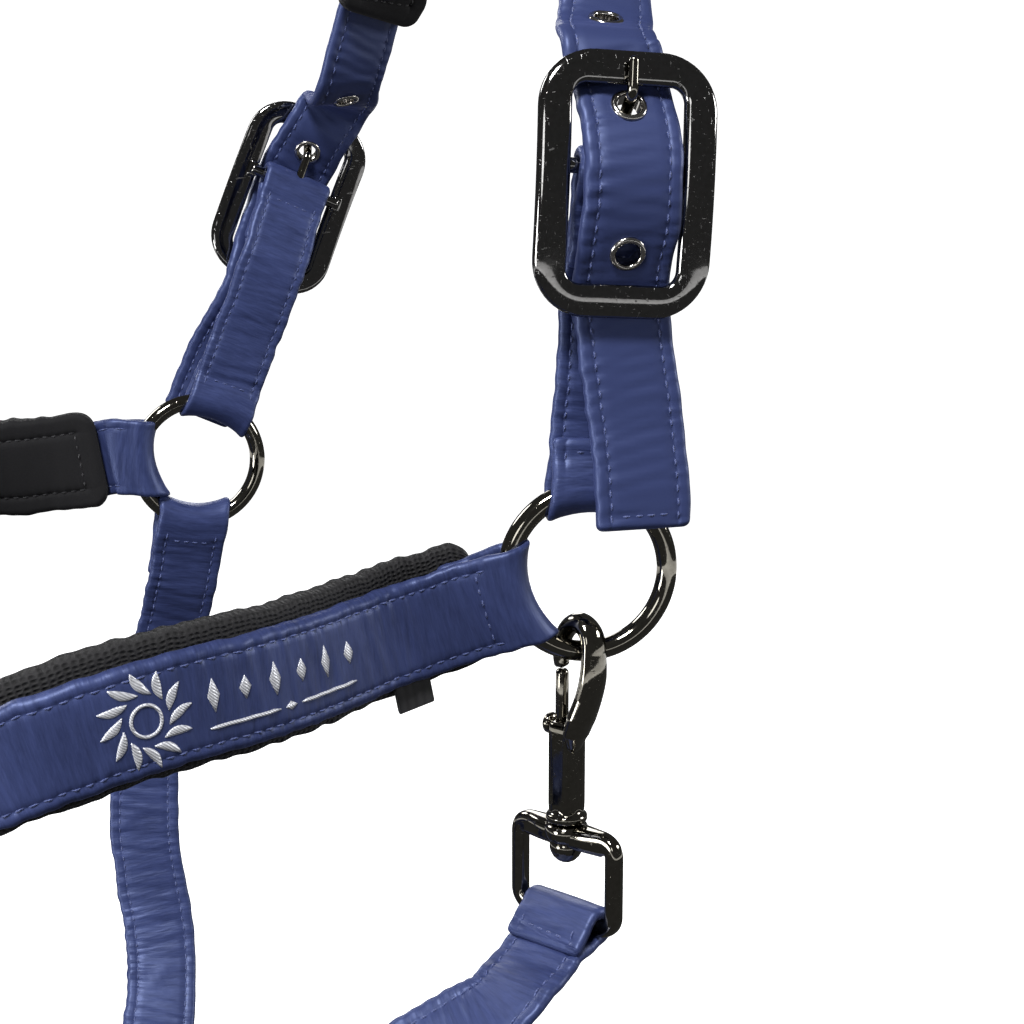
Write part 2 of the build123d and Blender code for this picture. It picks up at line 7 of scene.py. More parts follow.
import logging
import math
from dataclasses import dataclass, field
from enum import Enum
from typing import Callable, Sequence, Union

import bmesh
import bpy
import numpy as np
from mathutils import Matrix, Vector


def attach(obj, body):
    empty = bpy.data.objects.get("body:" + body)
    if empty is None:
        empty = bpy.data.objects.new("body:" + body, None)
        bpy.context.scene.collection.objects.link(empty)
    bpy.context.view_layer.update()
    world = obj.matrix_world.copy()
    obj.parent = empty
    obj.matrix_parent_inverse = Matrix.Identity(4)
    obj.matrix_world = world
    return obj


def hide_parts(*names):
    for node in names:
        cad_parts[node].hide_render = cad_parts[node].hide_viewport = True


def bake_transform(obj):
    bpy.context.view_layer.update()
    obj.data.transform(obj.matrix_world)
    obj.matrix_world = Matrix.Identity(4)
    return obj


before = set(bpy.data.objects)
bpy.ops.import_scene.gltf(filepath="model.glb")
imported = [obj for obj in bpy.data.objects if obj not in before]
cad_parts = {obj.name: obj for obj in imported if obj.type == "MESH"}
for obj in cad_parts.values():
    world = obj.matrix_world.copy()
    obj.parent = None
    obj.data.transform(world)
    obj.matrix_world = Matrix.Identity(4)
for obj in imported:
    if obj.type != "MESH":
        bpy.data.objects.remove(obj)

LOG = logging.getLogger("head_collar")
MM = 0.001
UP = np.array([0.0, 0.0, 1.0])
FORE_AND_AFT = np.array([1.0, 0.0, 0.0])
SIDEWAYS = np.array([0.0, 1.0, 0.0])

STRAP_WIDTH = 25.5
CHEEK_WIDTH = 27.0
STRAP_THICK = 3.4
CHEEK_THICK = 5.6
PAD_WIDTH = 34.5
PAD_THICK = 6.0
PAD_GAP = 0.15
CHEEK_PAD_GAP = 0.4
RING_RADIUS = 21.75
RING_WIRE = 2.75
FOLD_NECK = 31.0
STITCH_PITCH = 3.3
STITCH_ROW = 3.3            # from a strap's edge to its row of stitching
STITCH_RINGS = 7            # cross sections along one stitch
STITCH_SIDES = 6            # points round it
GROOVE = 0.62               # half width of the furrow that a row of stitching pulls in
FOLD_SLACK = 0.2            # between a wire and the strap folded round it
CHEEK_PAD_TOP = -1.85       # of the padded straps' pads, from the straps' tracks
CHEEK_PAD_FOOT = -CHEEK_THICK / 2 - CHEEK_PAD_GAP - PAD_THICK

Station = tuple[np.ndarray, np.ndarray]
Scalar = Union["Value", float]


class Body(Enum):
    """The bodies of the head collar that its pieces ride on."""

    HALTER = "halter"
    EYE = "eye"
    HOOK = "hook"
    BOLT = "bolt"
    NEAR_TONGUE = "near_tongue"
    FAR_TONGUE = "far_tongue"


class Slot(Enum):
    """Names of material slots; nothing in the script reads them."""

    SATIN = "satin"
    PAD = "pad"
    GUNMETAL = "gunmetal"
    TAB = "tab"


# ---------------------------------------------------------------- small vector helpers
def vec(*numbers: float) -> np.ndarray:
    """A vector of floats."""
    return np.array(numbers, dtype=float)


def unit(vector: np.ndarray) -> np.ndarray:
    """The vector at length one, along its last axis."""
    return vector / np.linalg.norm(vector, axis=-1, keepdims=True)


def smooth_step(value: np.ndarray) -> np.ndarray:
    """Zero below 0, one above 1 and smooth between."""
    held = np.clip(value, 0, 1)
    return held * held * (3 - 2 * held)


@dataclass(frozen=True)
class Seat:
    """A plane that a piece is laid out on: an origin and three unit directions."""

    origin: np.ndarray
    x: np.ndarray
    y: np.ndarray
    z: np.ndarray

    @classmethod
    def facing(cls, origin: np.ndarray, across: np.ndarray, face: np.ndarray) -> "Seat":
        """A plane whose Z is the face direction and whose X is as near to across as it can be.

        Args:
            origin: where the plane sits, in millimetres.
            across: direction that X follows.
            face: direction of Z.

        Returns:
            The plane.
        """
        z = unit(face)
        x = unit(across - np.dot(across, z) * z)
        return cls(origin, x, np.cross(z, x), z)

    @classmethod
    def of_ring(cls, centre: np.ndarray, rear: np.ndarray, side: np.ndarray = UP) -> "Seat":
        """The plane of a ring, with X rearward and Y to the given side."""
        return cls.facing(centre, rear, np.cross(rear, side))

    @classmethod
    def of_buckle(cls, centre: np.ndarray, long_axis: np.ndarray, level: np.ndarray) -> "Seat":
        """The plane of a buckle, with Y along its long axis and X near the level direction."""
        face = np.cross(level, long_axis)
        return cls.facing(centre, np.cross(long_axis, face), face)

    def at(self, x: Union[float, np.ndarray], y: Union[float, np.ndarray],
           z: Union[float, np.ndarray] = 0.0) -> np.ndarray:
        """Points at the given places on the plane."""
        x, y, z = np.broadcast_arrays(np.asarray(x, float), np.asarray(y, float), np.asarray(z, float))
        return self.origin + x[..., None] * self.x + y[..., None] * self.y + z[..., None] * self.z

    def away(self, degrees: float) -> np.ndarray:
        """Direction in the plane, turned from X towards Y."""
        return self.x * math.cos(math.radians(degrees)) + self.y * math.sin(math.radians(degrees))

    def leaving(self, degrees: float, distance: float = FOLD_NECK - 2) -> np.ndarray:
        """Point at a distance from the origin in the given direction."""
        return self.origin + self.away(degrees) * distance


NEAR_REAR = vec(0.974, -0.225, 0)
FAR_REAR = vec(0.999, -0.045, 0)
NEAR_THROAT = Seat.of_ring(vec(-10, -95, -200), NEAR_REAR)
FAR_THROAT = Seat.of_ring(vec(-60, 115, -195), FAR_REAR)
NEAR_NOSE = Seat.of_ring(vec(-206, -95, -239), vec(0.995, -0.1, 0))
FAR_NOSE = Seat.of_ring(vec(-245, 95, -230), vec(0.995, 0.1, 0))
CHIN = Seat.of_ring(vec(-205, 0, -335), vec(0.966, 0, -0.259), SIDEWAYS)
NEAR_BUCKLE = Seat.of_buckle(vec(-6, -105, -100), vec(5, 2, 100), NEAR_REAR)
FAR_BUCKLE = Seat.of_buckle(vec(-21, 122, -101), vec(39, 1, 94), -FAR_REAR)


class Wander:
    """Smooth random numbers along a length, the same on each run."""

    def __init__(self, seed: int, shortest: float, longest: float, parts: int = 9) -> None:
        """Settles the waves.

        Args:
            seed: picks the waves.
            shortest: shortest wavelength, in millimetres.
            longest: longest wavelength, in millimetres.
            parts: how many waves are added up.
        """
        source = np.random.default_rng(seed)
        self.lengths = np.exp(source.uniform(np.log(shortest), np.log(longest), parts))
        self.phases = source.uniform(0, 2 * math.pi, parts)
        self.sizes = source.uniform(0.5, 1.0, parts) / math.sqrt(parts)

    def __call__(self, distance: np.ndarray) -> np.ndarray:
        """The numbers at the given distances, mostly between -1 and 1."""
        angle = 2 * math.pi * np.asarray(distance, float)[..., None] / self.lengths + self.phases
        return (np.sin(angle) * self.sizes).sum(-1) * 1.3


# ---------------------------------------------------------------- curves
def curve_slopes(points: np.ndarray, knots: np.ndarray) -> np.ndarray:
    """Slopes at the knots of the smoothest cubic curve through some points.

    Args:
        points: one point a row.
        knots: the curve's parameter at each point.

    Returns:
        One slope a row.
    """
    count = len(points)
    steps = np.diff(knots)
    rises = np.diff(points, axis=0) / steps[:, None]
    matrix, right = np.zeros((count, count)), np.zeros_like(points)
    for i in range(1, count - 1):
        matrix[i, i - 1:i + 2] = steps[i], 2 * (steps[i - 1] + steps[i]), steps[i - 1]
        right[i] = 3 * (steps[i] * rises[i - 1] + steps[i - 1] * rises[i])
    matrix[0, 0] = matrix[-1, -1] = 1
    if count > 2:
        first, last = steps[0] / (steps[0] + steps[1]), steps[-1] / (steps[-1] + steps[-2])
        right[0] = rises[0] * (1 + first) - rises[1] * first
        right[-1] = rises[-1] * (1 + last) - rises[-2] * last
    else:
        right[:] = rises[0]
    return np.linalg.solve(matrix, right)


def curve_through(points: np.ndarray, per_span: int = 48) -> tuple[np.ndarray, np.ndarray]:
    """Closely spaced points on a smooth curve.

    Args:
        points: the points that the curve goes through, one a row.
        per_span: samples between two of them.

    Returns:
        The samples, and the place of each among the points counted from 0.
    """
    steps = np.linalg.norm(np.diff(points, axis=0), axis=1)
    knots = np.concatenate([[0], np.cumsum(steps)])
    slopes = curve_slopes(points, knots)
    place = np.linspace(0, len(points) - 1, (len(points) - 1) * per_span + 1)
    span = np.minimum(place.astype(int), len(points) - 2)
    t = (place - span)[:, None]
    h = steps[span][:, None]
    start, end = points[span], points[span + 1]
    made = ((2 * t ** 3 - 3 * t ** 2 + 1) * start + (t ** 3 - 2 * t ** 2 + t) * h * slopes[span]
            + (3 * t ** 2 - 2 * t ** 3) * end + (t ** 3 - t ** 2) * h * slopes[span + 1])
    return made, place


@dataclass
class Track:
    """A strap's centre line with a frame at each sample: across, outward and along."""

    points: np.ndarray
    across: np.ndarray
    outward: np.ndarray
    distance: np.ndarray

    @classmethod
    def through(cls, stations: Sequence[Station], soften: float = 5.0) -> "Track":
        """The track through some stations.

        Args:
            stations: pairs of a point and the direction of the strap's width there.
            soften: millimetres over which the change of width direction is spread.

        Returns:
            The track, sampled about every half millimetre.
        """
        fine, place = curve_through(np.array([point for point, _ in stations]))
        widths = unit(np.array([width for _, width in stations], dtype=float))
        order = np.arange(len(stations))
        coarse_width = np.stack([np.interp(place, order, widths[:, k]) for k in range(3)], 1)
        run = np.concatenate([[0], np.cumsum(np.linalg.norm(np.diff(fine, axis=0), axis=1))])
        distance = np.linspace(0, run[-1], max(12, int(run[-1] / 0.5)))
        points = np.stack([np.interp(distance, run, fine[:, k]) for k in range(3)], 1)
        across = np.stack([np.interp(distance, run, coarse_width[:, k]) for k in range(3)], 1)
        reach = max(1, int(soften / (distance[1] - distance[0])))
        window = np.hanning(2 * reach + 3)
        window /= window.sum()
        padded = np.pad(across, ((reach + 1, reach + 1), (0, 0)), mode="edge")
        across = np.stack([np.convolve(padded[:, k], window, mode="valid") for k in range(3)], 1)
        along = unit(np.gradient(points, axis=0))
        across = unit(across - (across * along).sum(1)[:, None] * along)
        return cls(points, across, np.cross(along, across), distance)

    @property
    def length(self) -> float:
        """The track's length in millimetres."""
        return float(self.distance[-1])

    def look(self, values: np.ndarray, distance: np.ndarray) -> np.ndarray:
        """The given sampled vectors at some distances along the track."""
        return np.stack([np.interp(distance, self.distance, values[:, k]) for k in range(3)], -1)

    def place(self, distance: np.ndarray, across: np.ndarray, height: np.ndarray) -> np.ndarray:
        """Points on or over the strap.

        Args:
            distance: along the track.
            across: from the middle of the width.
            height: outward from the centre line.

        Returns:
            The points, in millimetres.
        """
        return (self.look(self.points, distance) + self.look(self.across, distance) * across[..., None]
                + self.look(self.outward, distance) * height[..., None])

    def nearest(self, point: np.ndarray) -> float:
        """The distance along the track where it comes nearest to a point."""
        return float(self.distance[np.argmin(np.linalg.norm(self.points - point, axis=1))])

    def seat(self, distance: float) -> Seat:
        """The plane on the track at a distance, with X across it and Z outward."""
        across, outward = self.look(self.across, distance), self.look(self.outward, distance)
        return Seat(self.look(self.points, distance), across, np.cross(outward, across), outward)

    def stations(self, first: float, last: float, height: float, step: float = 7.0) -> list[Station]:
        """Stations on a line beside the track, to lay one layer of a doubled strap along it.

        Args:
            first: distance of the first station.
            last: distance of the last, which may be the smaller.
            height: outward from the track.
            step: about how far apart they are.

        Returns:
            The stations in order.
        """
        at = np.linspace(first, last, max(2, int(abs(last - first) / step) + 1))
        middle = self.place(at, np.zeros_like(at), np.full_like(at, height))
        return list(zip(middle, self.look(self.across, at)))


# ---------------------------------------------------------------- meshes
def make_piece(name: str, points: np.ndarray, faces: list, finishes: Sequence["Finish"],
               weave: np.ndarray | None = None, marks: np.ndarray | None = None,
               turn_out: bool = False) -> bpy.types.Object:
    """A smooth-shaded mesh object.

    Args:
        name: the piece's name.
        points: its vertices in millimetres.
        faces: lists of vertex numbers.
        finishes: its materials.
        weave: for fabric, each vertex's place across and along the cloth, in millimetres.
        marks: the number of each face's material.
        turn_out: whether its faces are turned to point outward.

    Returns:
        The object, linked to the scene.
    """
    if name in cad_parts:
        name = f"{name}_{finishes[0].name.rsplit('_', 1)[-1]}"
    mesh = bpy.data.meshes.new(name)
    mesh.from_pydata((points * MM).tolist(), [], faces)
    mesh.polygons.foreach_set("use_smooth", np.ones(len(mesh.polygons), dtype=bool))
    for finish in finishes:
        mesh.materials.append(finish.material())
    if marks is not None:
        mesh.polygons.foreach_set("material_index", marks.astype(np.int32))
    cloth = points if weave is None else weave
    layer = mesh.attributes.new("weave", "FLOAT_VECTOR", "POINT")
    layer.data.foreach_set("vector", (cloth * MM).astype(np.float32).ravel())
    if turn_out:
        shells = bmesh.new()
        shells.from_mesh(mesh)
        bmesh.ops.recalc_face_normals(shells, faces=shells.faces)
        shells.to_mesh(mesh)
        shells.free()
    mesh.update()
    made = bpy.data.objects.new(name, mesh)
    bpy.context.scene.collection.objects.link(made)
    return made


def tube_faces(rows: int, columns: int, closed: bool = False, first: int = 0) -> list:
    """Faces of a tube of points laid out row by row.

    Args:
        rows: how many rings of points.
        columns: how many points in each ring.
        closed: whether the last ring joins the first, as in a torus. Otherwise the ends are capped.
        first: number of the first point.

    Returns:
        Lists of point numbers.
    """
    i = np.arange(rows if closed else rows - 1)[:, None]
    j = np.arange(columns)[None, :]
    below, above = i * columns, (i + 1) % rows * columns
    beside = (j + 1) % columns
    quads = np.stack(np.broadcast_arrays(below + j, above + j, above + beside, below + beside), -1)
    faces = (quads.reshape(-1, 4) + first).tolist()
    if not closed:
        faces.append((np.arange(columns) + first).tolist())
        faces.append((np.arange(columns)[::-1] + (rows - 1) * columns + first).tolist())
    return faces


class Shape:
    """Points and faces that several tubes, lathes and bars are gathered in."""

    def __init__(self) -> None:
        """Starts with nothing."""
        self.points: list[np.ndarray] = []
        self.faces: list = []
        self.count = 0

    def add(self, grid: np.ndarray, closed: bool = False) -> "Shape":
        """Adds a tube.

        Args:
            grid: rows of rings of points.
            closed: whether the last ring joins the first.

        Returns:
            The shape itself.
        """
        self.faces += tube_faces(grid.shape[0], grid.shape[1], closed, self.count)
        self.points.append(grid.reshape(-1, 3))
        self.count += grid.shape[0] * grid.shape[1]
        return self

    def wire(self, line: np.ndarray, radius: Union[float, np.ndarray], level: np.ndarray = UP,
             sides: int = 24, flat: Union[float, np.ndarray] = 1.0, closed: bool = False) -> "Shape":
        """Adds a round or flattened wire.

        Args:
            line: points along its middle.
            radius: its radius, one number or one for each point.
            level: a direction that its section is kept square to.
            sides: points round the section.
            flat: the section's height as a share of its width.
            closed: whether the wire is a closed loop.

        Returns:
            The shape itself.
        """
        if closed:
            along = unit(np.roll(line, -1, axis=0) - np.roll(line, 1, axis=0))
        else:
            along = unit(np.gradient(line, axis=0))
        side = unit(np.cross(along, level))
        over = np.cross(side, along)
        turn = np.linspace(0, 2 * math.pi, sides, endpoint=False)
        size = np.broadcast_to(np.asarray(radius, float), (len(line),))[:, None, None]
        tall = np.broadcast_to(np.asarray(flat, float), (len(line),))[:, None] * np.sin(turn)[None]
        ring = side[:, None] * np.cos(turn)[None, :, None] + over[:, None] * tall[..., None]
        return self.add(line[:, None] + ring * size, closed)

    def lathe(self, seat: Seat, profile: Sequence[tuple[float, float]], sides: int = 48,
              closed: bool = False) -> "Shape":
        """Adds a turned form about a plane's Z.

        Args:
            seat: the plane whose Z is the axis.
            profile: pairs of a radius and a height.
            sides: points round it.
            closed: whether the profile is a closed ring, as an eyelet's is.

        Returns:
            The shape itself.
        """
        turn = np.linspace(0, 2 * math.pi, sides, endpoint=False)
        radius, height = np.array(profile, float).T
        grid = seat.at(radius[:, None] * np.cos(turn), radius[:, None] * np.sin(turn), height[:, None])
        return self.add(grid, closed)

    def block(self, seat: Seat, size: Sequence[float], rounding: float, steps: int = 5) -> "Shape":
        """Adds a block with rounded edges, centred on a plane's origin.

        Args:
            seat: the plane.
            size: its three sizes.
            rounding: radius of its edges.
            steps: points round each edge.

        Returns:
            The shape itself.
        """
        turn = np.radians(np.concatenate([np.linspace(q, q + 90, steps) for q in (0, 90, 180, 270)]))
        signs = np.repeat([[1, 1], [-1, 1], [-1, -1], [1, -1]], steps, axis=0)
        rise = np.radians(np.concatenate([np.linspace(-90, 0, steps), np.linspace(0, 90, steps)]))
        half = np.array(size) / 2 - rounding
        reach = rounding * np.cos(rise)[:, None]
        x = signs[:, 0] * half[0] + reach * np.cos(turn)
        y = signs[:, 1] * half[1] + reach * np.sin(turn)
        z = np.repeat([-half[2], half[2]], steps)[:, None] + rounding * np.sin(rise)[:, None]
        return self.add(seat.at(x, y, z))

    def piece(self, name: str, finish: "Finish", slot: Slot = Slot.GUNMETAL) -> bpy.types.Object:
        """The gathered shape as one object."""
        return make_piece(name, np.concatenate(self.points), self.faces, [finish], turn_out=True)


def rounded_path(corners: Sequence[tuple[float, float]], radius: float, closed: bool = False) -> np.ndarray:
    """Points along straight runs joined by arcs, in a plane.

    Args:
        corners: the runs' corners.
        radius: the arcs' radius.
        closed: whether the last corner joins the first.

    Returns:
        One pair of numbers a row.
    """
    given = np.array(corners, float)
    count = len(given)
    made = []
    for i in range(count):
        if not closed and i in (0, count - 1):
            made.append(given[i][None])
            continue
        here, before, after = given[i], given[i - 1], given[(i + 1) % count]
        back, on = unit(before - here), unit(after - here)
        half = math.acos(float(np.clip(np.dot(back, on), -1, 1))) / 2
        bisector = unit(back + on)
        centre = here + bisector * radius / math.sin(half)
        start = here + back * radius / math.tan(half) - centre
        end = here + on * radius / math.tan(half) - centre
        share = np.linspace(0, 1, 12)[:, None]
        angle = math.acos(float(np.clip(np.dot(unit(start), unit(end)), -1, 1)))
        arc = (np.sin((1 - share) * angle) * start + np.sin(share * angle) * end) / math.sin(angle)
        made.append(centre + arc)
    line = np.concatenate(made)
    if closed:
        line = np.concatenate([line, line[:1]])
    steps = np.linalg.norm(np.diff(line, axis=0), axis=1)
    run = np.concatenate([[0], np.cumsum(steps)])
    even = np.linspace(0, run[-1], max(8, int(run[-1] / 0.45)))
    if closed:
        even = even[:-1]
    return np.stack([np.interp(even, run, line[:, k]) for k in range(2)], 1)


def seat_on(body: Body, *made: bpy.types.Object) -> None:
    """Makes pieces ride on a body, and reports them."""
    for piece in made:
        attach(piece, body.value)
        LOG.info("%s rides on %s", piece.name, body.value)


# ---------------------------------------------------------------- shader maths
class Value:
    """A shader socket that Python's operators work on."""

    def __init__(self, shader: "Shader", socket: bpy.types.NodeSocket) -> None:
        """Wraps a socket of a shader's node."""
        self.shader = shader
        self.socket = socket

    def _with(self, operation: str, first: Scalar, second: Scalar) -> "Value":
        """A Math node on two numbers."""
        return self.shader.node("ShaderNodeMath", {"operation": operation}, {0: first, 1: second})

    def __add__(self, other: Scalar) -> "Value":
        """The sum."""
        return self._with("ADD", self, other)

    def __radd__(self, other: Scalar) -> "Value":
        """The sum, with the number first."""
        return self._with("ADD", other, self)

    def __sub__(self, other: Scalar) -> "Value":
        """The difference."""
        return self._with("SUBTRACT", self, other)

    def __rsub__(self, other: Scalar) -> "Value":
        """The difference, with the number first."""
        return self._with("SUBTRACT", other, self)

    def __mul__(self, other: Scalar) -> "Value":
        """The product."""
        return self._with("MULTIPLY", self, other)

    def __rmul__(self, other: Scalar) -> "Value":
        """The product, with the number first."""
        return self._with("MULTIPLY", other, self)

    def between(self, low: float, high: float) -> "Value":
        """Zero at low, one at high, and held outside them."""
        return self.shader.node("ShaderNodeMapRange", {"clamp": True},
                                {"Value": self, "From Min": low, "From Max": high})


class Shader:
    """A material's nodes, with one Principled shader."""

    def __init__(self, name: str, constants: dict) -> None:
        """Starts a material.

        Args:
            name: the material's name.
            constants: values set straight on the Principled shader's sockets.
        """
        self.material = bpy.data.materials.new(name)
        self.material.use_nodes = True
        self.tree = self.material.node_tree
        self.principled = self.tree.nodes["Principled BSDF"]
        for socket, value in constants.items():
            self.principled.inputs[socket].default_value = value

    def node(self, kind: str, settings: dict, inputs: dict, output: int | str = 0) -> Value:
        """Adds a node.

        Args:
            kind: the node's type.
            settings: its properties, which are set first.
            inputs: values or links by socket name or number.
            output: which output is wanted.

        Returns:
            That output.
        """
        made = self.tree.nodes.new(kind)
        for name, value in settings.items():
            setattr(made, name, value)
        for name, value in inputs.items():
            if isinstance(value, Value):
                self.tree.links.new(value.socket, made.inputs[name])
            else:
                made.inputs[name].default_value = value
        return Value(self, made.outputs[output])

    def weave(self, across: float, along: float) -> Value:
        """The fabric's own coordinates, times a number each way."""
        place = self.node("ShaderNodeAttribute", {"attribute_name": "weave"}, {}, "Vector")
        return self.node("ShaderNodeVectorMath", {"operation": "MULTIPLY"},
                         {0: place, 1: (across, along, along)})

    def noise(self, place: Value, scale: float, detail: float = 3.0, rough: float = 0.5) -> Value:
        """Soft noise between 0 and 1."""
        return self.node("ShaderNodeTexNoise", {}, {"Vector": place, "Scale": scale, "Detail": detail,
                                                    "Roughness": rough}, 0)

    def mix(self, share: Scalar, first: tuple, second: tuple) -> Value:
        """A colour between two, or between a link and a colour."""
        return self.node("ShaderNodeMix", {"data_type": "RGBA"}, {0: share, 6: first, 7: second}, 2)

    def bump(self, height: Value, depth: float, strength: float = 1.0, under: Value | None = None) -> Value:
        """A bumped normal.

        Args:
            height: what the surface rises by, between 0 and 1.
            depth: that rise in metres.
            strength: how much of it shows.
            under: a bump that it is laid on.

        Returns:
            The normal.
        """
        inputs = {"Height": height, "Distance": depth, "Strength": strength}
        if under is not None:
            inputs["Normal"] = under
        return self.node("ShaderNodeBump", {}, inputs)

    def dress(self, **links: Value) -> bpy.types.Material:
        """Links the Principled shader's sockets, named with underscores for spaces."""
        for name, value in links.items():
            self.tree.links.new(value.socket, self.principled.inputs[name.replace("_", " ")])
        return self.material


# ---------------------------------------------------------------- finishes
@dataclass(frozen=True)
class Finish:
    """A finish of the head collar, made into a material once."""

    name: str
    colour: tuple[float, float, float]
    deep: tuple[float, float, float]

    def material(self) -> bpy.types.Material:
        """The finish's material."""
        return bpy.data.materials.get(self.name) or self.build()

    def build(self) -> bpy.types.Material:
        """Makes the material. Each kind of finish has its own."""
        raise NotImplementedError

    @property
    def pair(self) -> tuple[tuple, tuple]:
        """The deep and the main colour, with alpha."""
        return (*self.deep, 1.0), (*self.colour, 1.0)


@dataclass(frozen=True)
class Satin(Finish):
    """Woven satin, with fine cross ribs and a broad soft gloss. Its colour varies at random, and is darker in
    the hollows of its ribs and slubs, which is painted shade.
    """

    gloss: float = 0.42

    def build(self) -> bpy.types.Material:
        """Makes the material."""
        shader = Shader(self.name, {
            "Metallic": 0.0, "Sheen Weight": 0.12, "Sheen Roughness": 0.35, "IOR": 1.68,
            "Sheen Tint": (0.35, 0.42, 1.0, 1.0), "Specular Tint": (0.5, 0.6, 1.0, 1.0)})
        ribs = shader.noise(shader.weave(260, 2400), 1.0, 2.0, 0.6)
        slubs = shader.noise(shader.weave(90, 700), 1.0, 3.0, 0.55)
        waves = shader.noise(shader.weave(75, 340), 1.0, 2.0, 0.55)
        clouds = shader.noise(shader.weave(45, 45), 1.0, 3.0, 0.5)
        # The colour follows random clouds and also the ribs and slubs that make the bump, so their low places
        # take the deep colour: painted shade in the hollows, on top of random tone.
        tone = (0.35 * clouds + 0.35 * slubs + 0.3 * ribs).between(0.36, 0.64)
        rough = self.gloss - 0.06 + 0.10 * ribs + 0.10 * clouds
        normal = shader.bump(ribs, 0.00006, 0.5)
        normal = shader.bump(slubs, 0.00012, 0.5, normal)
        normal = shader.bump(waves, 0.0007, 0.5, normal)
        return shader.dress(Base_Color=shader.mix(tone, *self.pair), Roughness=rough, Normal=normal)


@dataclass(frozen=True)
class AirMesh(Finish):
    """Knitted spacer mesh with small round holes, each darkened by painted shade."""

    hole: float = 1.15      # millimetres between holes

    def build(self) -> bpy.types.Material:
        """Makes the material."""
        shader = Shader(self.name, {"Metallic": 0.0, "Sheen Weight": 0.06, "Sheen Roughness": 0.5,
                                    "IOR": 1.35})
        scale = 1000 / self.hole
        cells = shader.node("ShaderNodeTexVoronoi", {"feature": "F1"},
                            {"Vector": shader.weave(scale, scale * 0.7), "Scale": 1.0, "Randomness": 0.25},
                            "Distance")
        knit = shader.noise(shader.weave(2600, 1800), 1.0, 2.0)
        rise = cells.between(0.12, 0.5)
        normal = shader.bump(knit, 0.00012, 0.5, shader.bump(rise, 0.0005, 0.9))
        # Painted shade: the colour follows the height, so each hole, where the mesh is low, takes the deep
        # colour.
        return shader.dress(Base_Color=shader.mix(rise, *self.pair), Roughness=0.62 + 0.2 * knit,
                            Normal=normal)


@dataclass(frozen=True)
class Lining(Finish):
    """Smooth brushed lining of a pad's inner face."""

    def build(self) -> bpy.types.Material:
        """Makes the material."""
        shader = Shader(self.name, {"Metallic": 0.0, "Sheen Weight": 0.05, "Sheen Roughness": 0.4,
                                    "IOR": 1.35})
        nap = shader.noise(shader.weave(1500, 1500), 1.0, 3.0, 0.6)
        patches = shader.noise(shader.weave(60, 60), 1.0, 2.0)
        normal = shader.bump(nap, 0.00012, 0.6)
        return shader.dress(Base_Color=shader.mix(patches, *self.pair), Roughness=0.7 + 0.2 * nap,
                            Normal=normal)


@dataclass(frozen=True)
class Thread(Finish):
    """Twisted sewing or embroidery thread, with painted shade in the grooves of its twist."""

    gloss: float = 0.45
    metallic: float = 0.0
    twist: float = 0.35     # millimetres a turn

    def build(self) -> bpy.types.Material:
        """Makes the material."""
        shader = Shader(self.name, {"Metallic": self.metallic, "Sheen Weight": 0.2, "Sheen Roughness": 0.4})
        strands = shader.node("ShaderNodeTexWave", {"bands_direction": "DIAGONAL"},
                              {"Vector": shader.weave(1000 / self.twist, 1000 / self.twist), "Scale": 0.32,
                               "Distortion": 0.6}, "Fac")
        normal = shader.bump(strands, 0.00008, 0.8)
        # Painted shade: where the twist's height is low, in its grooves, the colour turns to the deep one.
        return shader.dress(Base_Color=shader.mix(strands, *self.pair), Normal=normal,
                            Roughness=self.gloss + 0.1 * strands)


@dataclass(frozen=True)
class BlackNickel(Finish):
    """Polished black nickel over a casting, with fine handling scratches."""

    gloss: float = 0.09
    wear: float = 1.0

    def build(self) -> bpy.types.Material:
        """Makes the material."""
        shader = Shader(self.name, {"Metallic": 1.0, "Coat Weight": 0.0})
        place = shader.node("ShaderNodeTexCoord", {}, {}, "Object")
        scratches = None
        for turn, stretch in ((0.4, (2200, 60, 400)), (1.5, (900, 70, 2600)), (2.4, (80, 1900, 700))):
            turned = shader.node("ShaderNodeMapping", {"vector_type": "POINT"},
                                 {"Vector": place, "Rotation": (turn, 0.7 * turn, 1.3 * turn),
                                  "Scale": stretch})
            line = shader.noise(turned, 1.0, 2.0, 0.5).between(0.69, 0.76)
            scratches = line if scratches is None else scratches + line
        wash = shader.noise(place, 140, 3.0)
        pits = shader.noise(place, 900, 2.0)
        rough = self.gloss + 0.06 * wash + (0.16 * self.wear) * scratches
        normal = shader.bump(wash, 0.00006, 0.5)
        normal = shader.bump(1 - scratches, 0.000015, 0.5 * self.wear, normal)
        return shader.dress(Base_Color=shader.mix(pits.between(0.3, 0.7), *self.pair), Roughness=rough,
                            Normal=normal)


@dataclass(frozen=True)
class SpringSteel(Finish):
    """Bare drawn spring wire, with painted shade between its coils."""

    def build(self) -> bpy.types.Material:
        """Makes the material."""
        shader = Shader(self.name, {"Metallic": 1.0})
        place = shader.node("ShaderNodeTexCoord", {}, {}, "Object")
        coils = shader.node("ShaderNodeTexWave", {"bands_direction": "Z"},
                            {"Vector": place, "Scale": 320}, "Fac")
        # Painted shade: the colour turns to the deep one where the coils' height is low, between the coils.
        return shader.dress(Base_Color=shader.mix(coils, *self.pair), Roughness=0.25 + 0.2 * coils,
                            Normal=shader.bump(coils, 0.0003))


@dataclass(frozen=True)
class WovenTape(Finish):
    """Narrow woven label tape, with painted shade between its ribs."""

    def build(self) -> bpy.types.Material:
        """Makes the material."""
        shader = Shader(self.name, {"Metallic": 0.0, "Sheen Weight": 0.2})
        ribs = shader.node("ShaderNodeTexWave", {"bands_direction": "Y"},
                           {"Vector": shader.weave(2500, 2500), "Scale": 0.4, "Distortion": 0.4}, "Fac")
        # Painted shade: the colour turns to the deep one where the ribs are low, between them.
        return shader.dress(Base_Color=shader.mix(ribs, *self.pair), Roughness=0.5 + 0.15 * ribs,
                            Normal=shader.bump(ribs, 0.0001, 0.7))


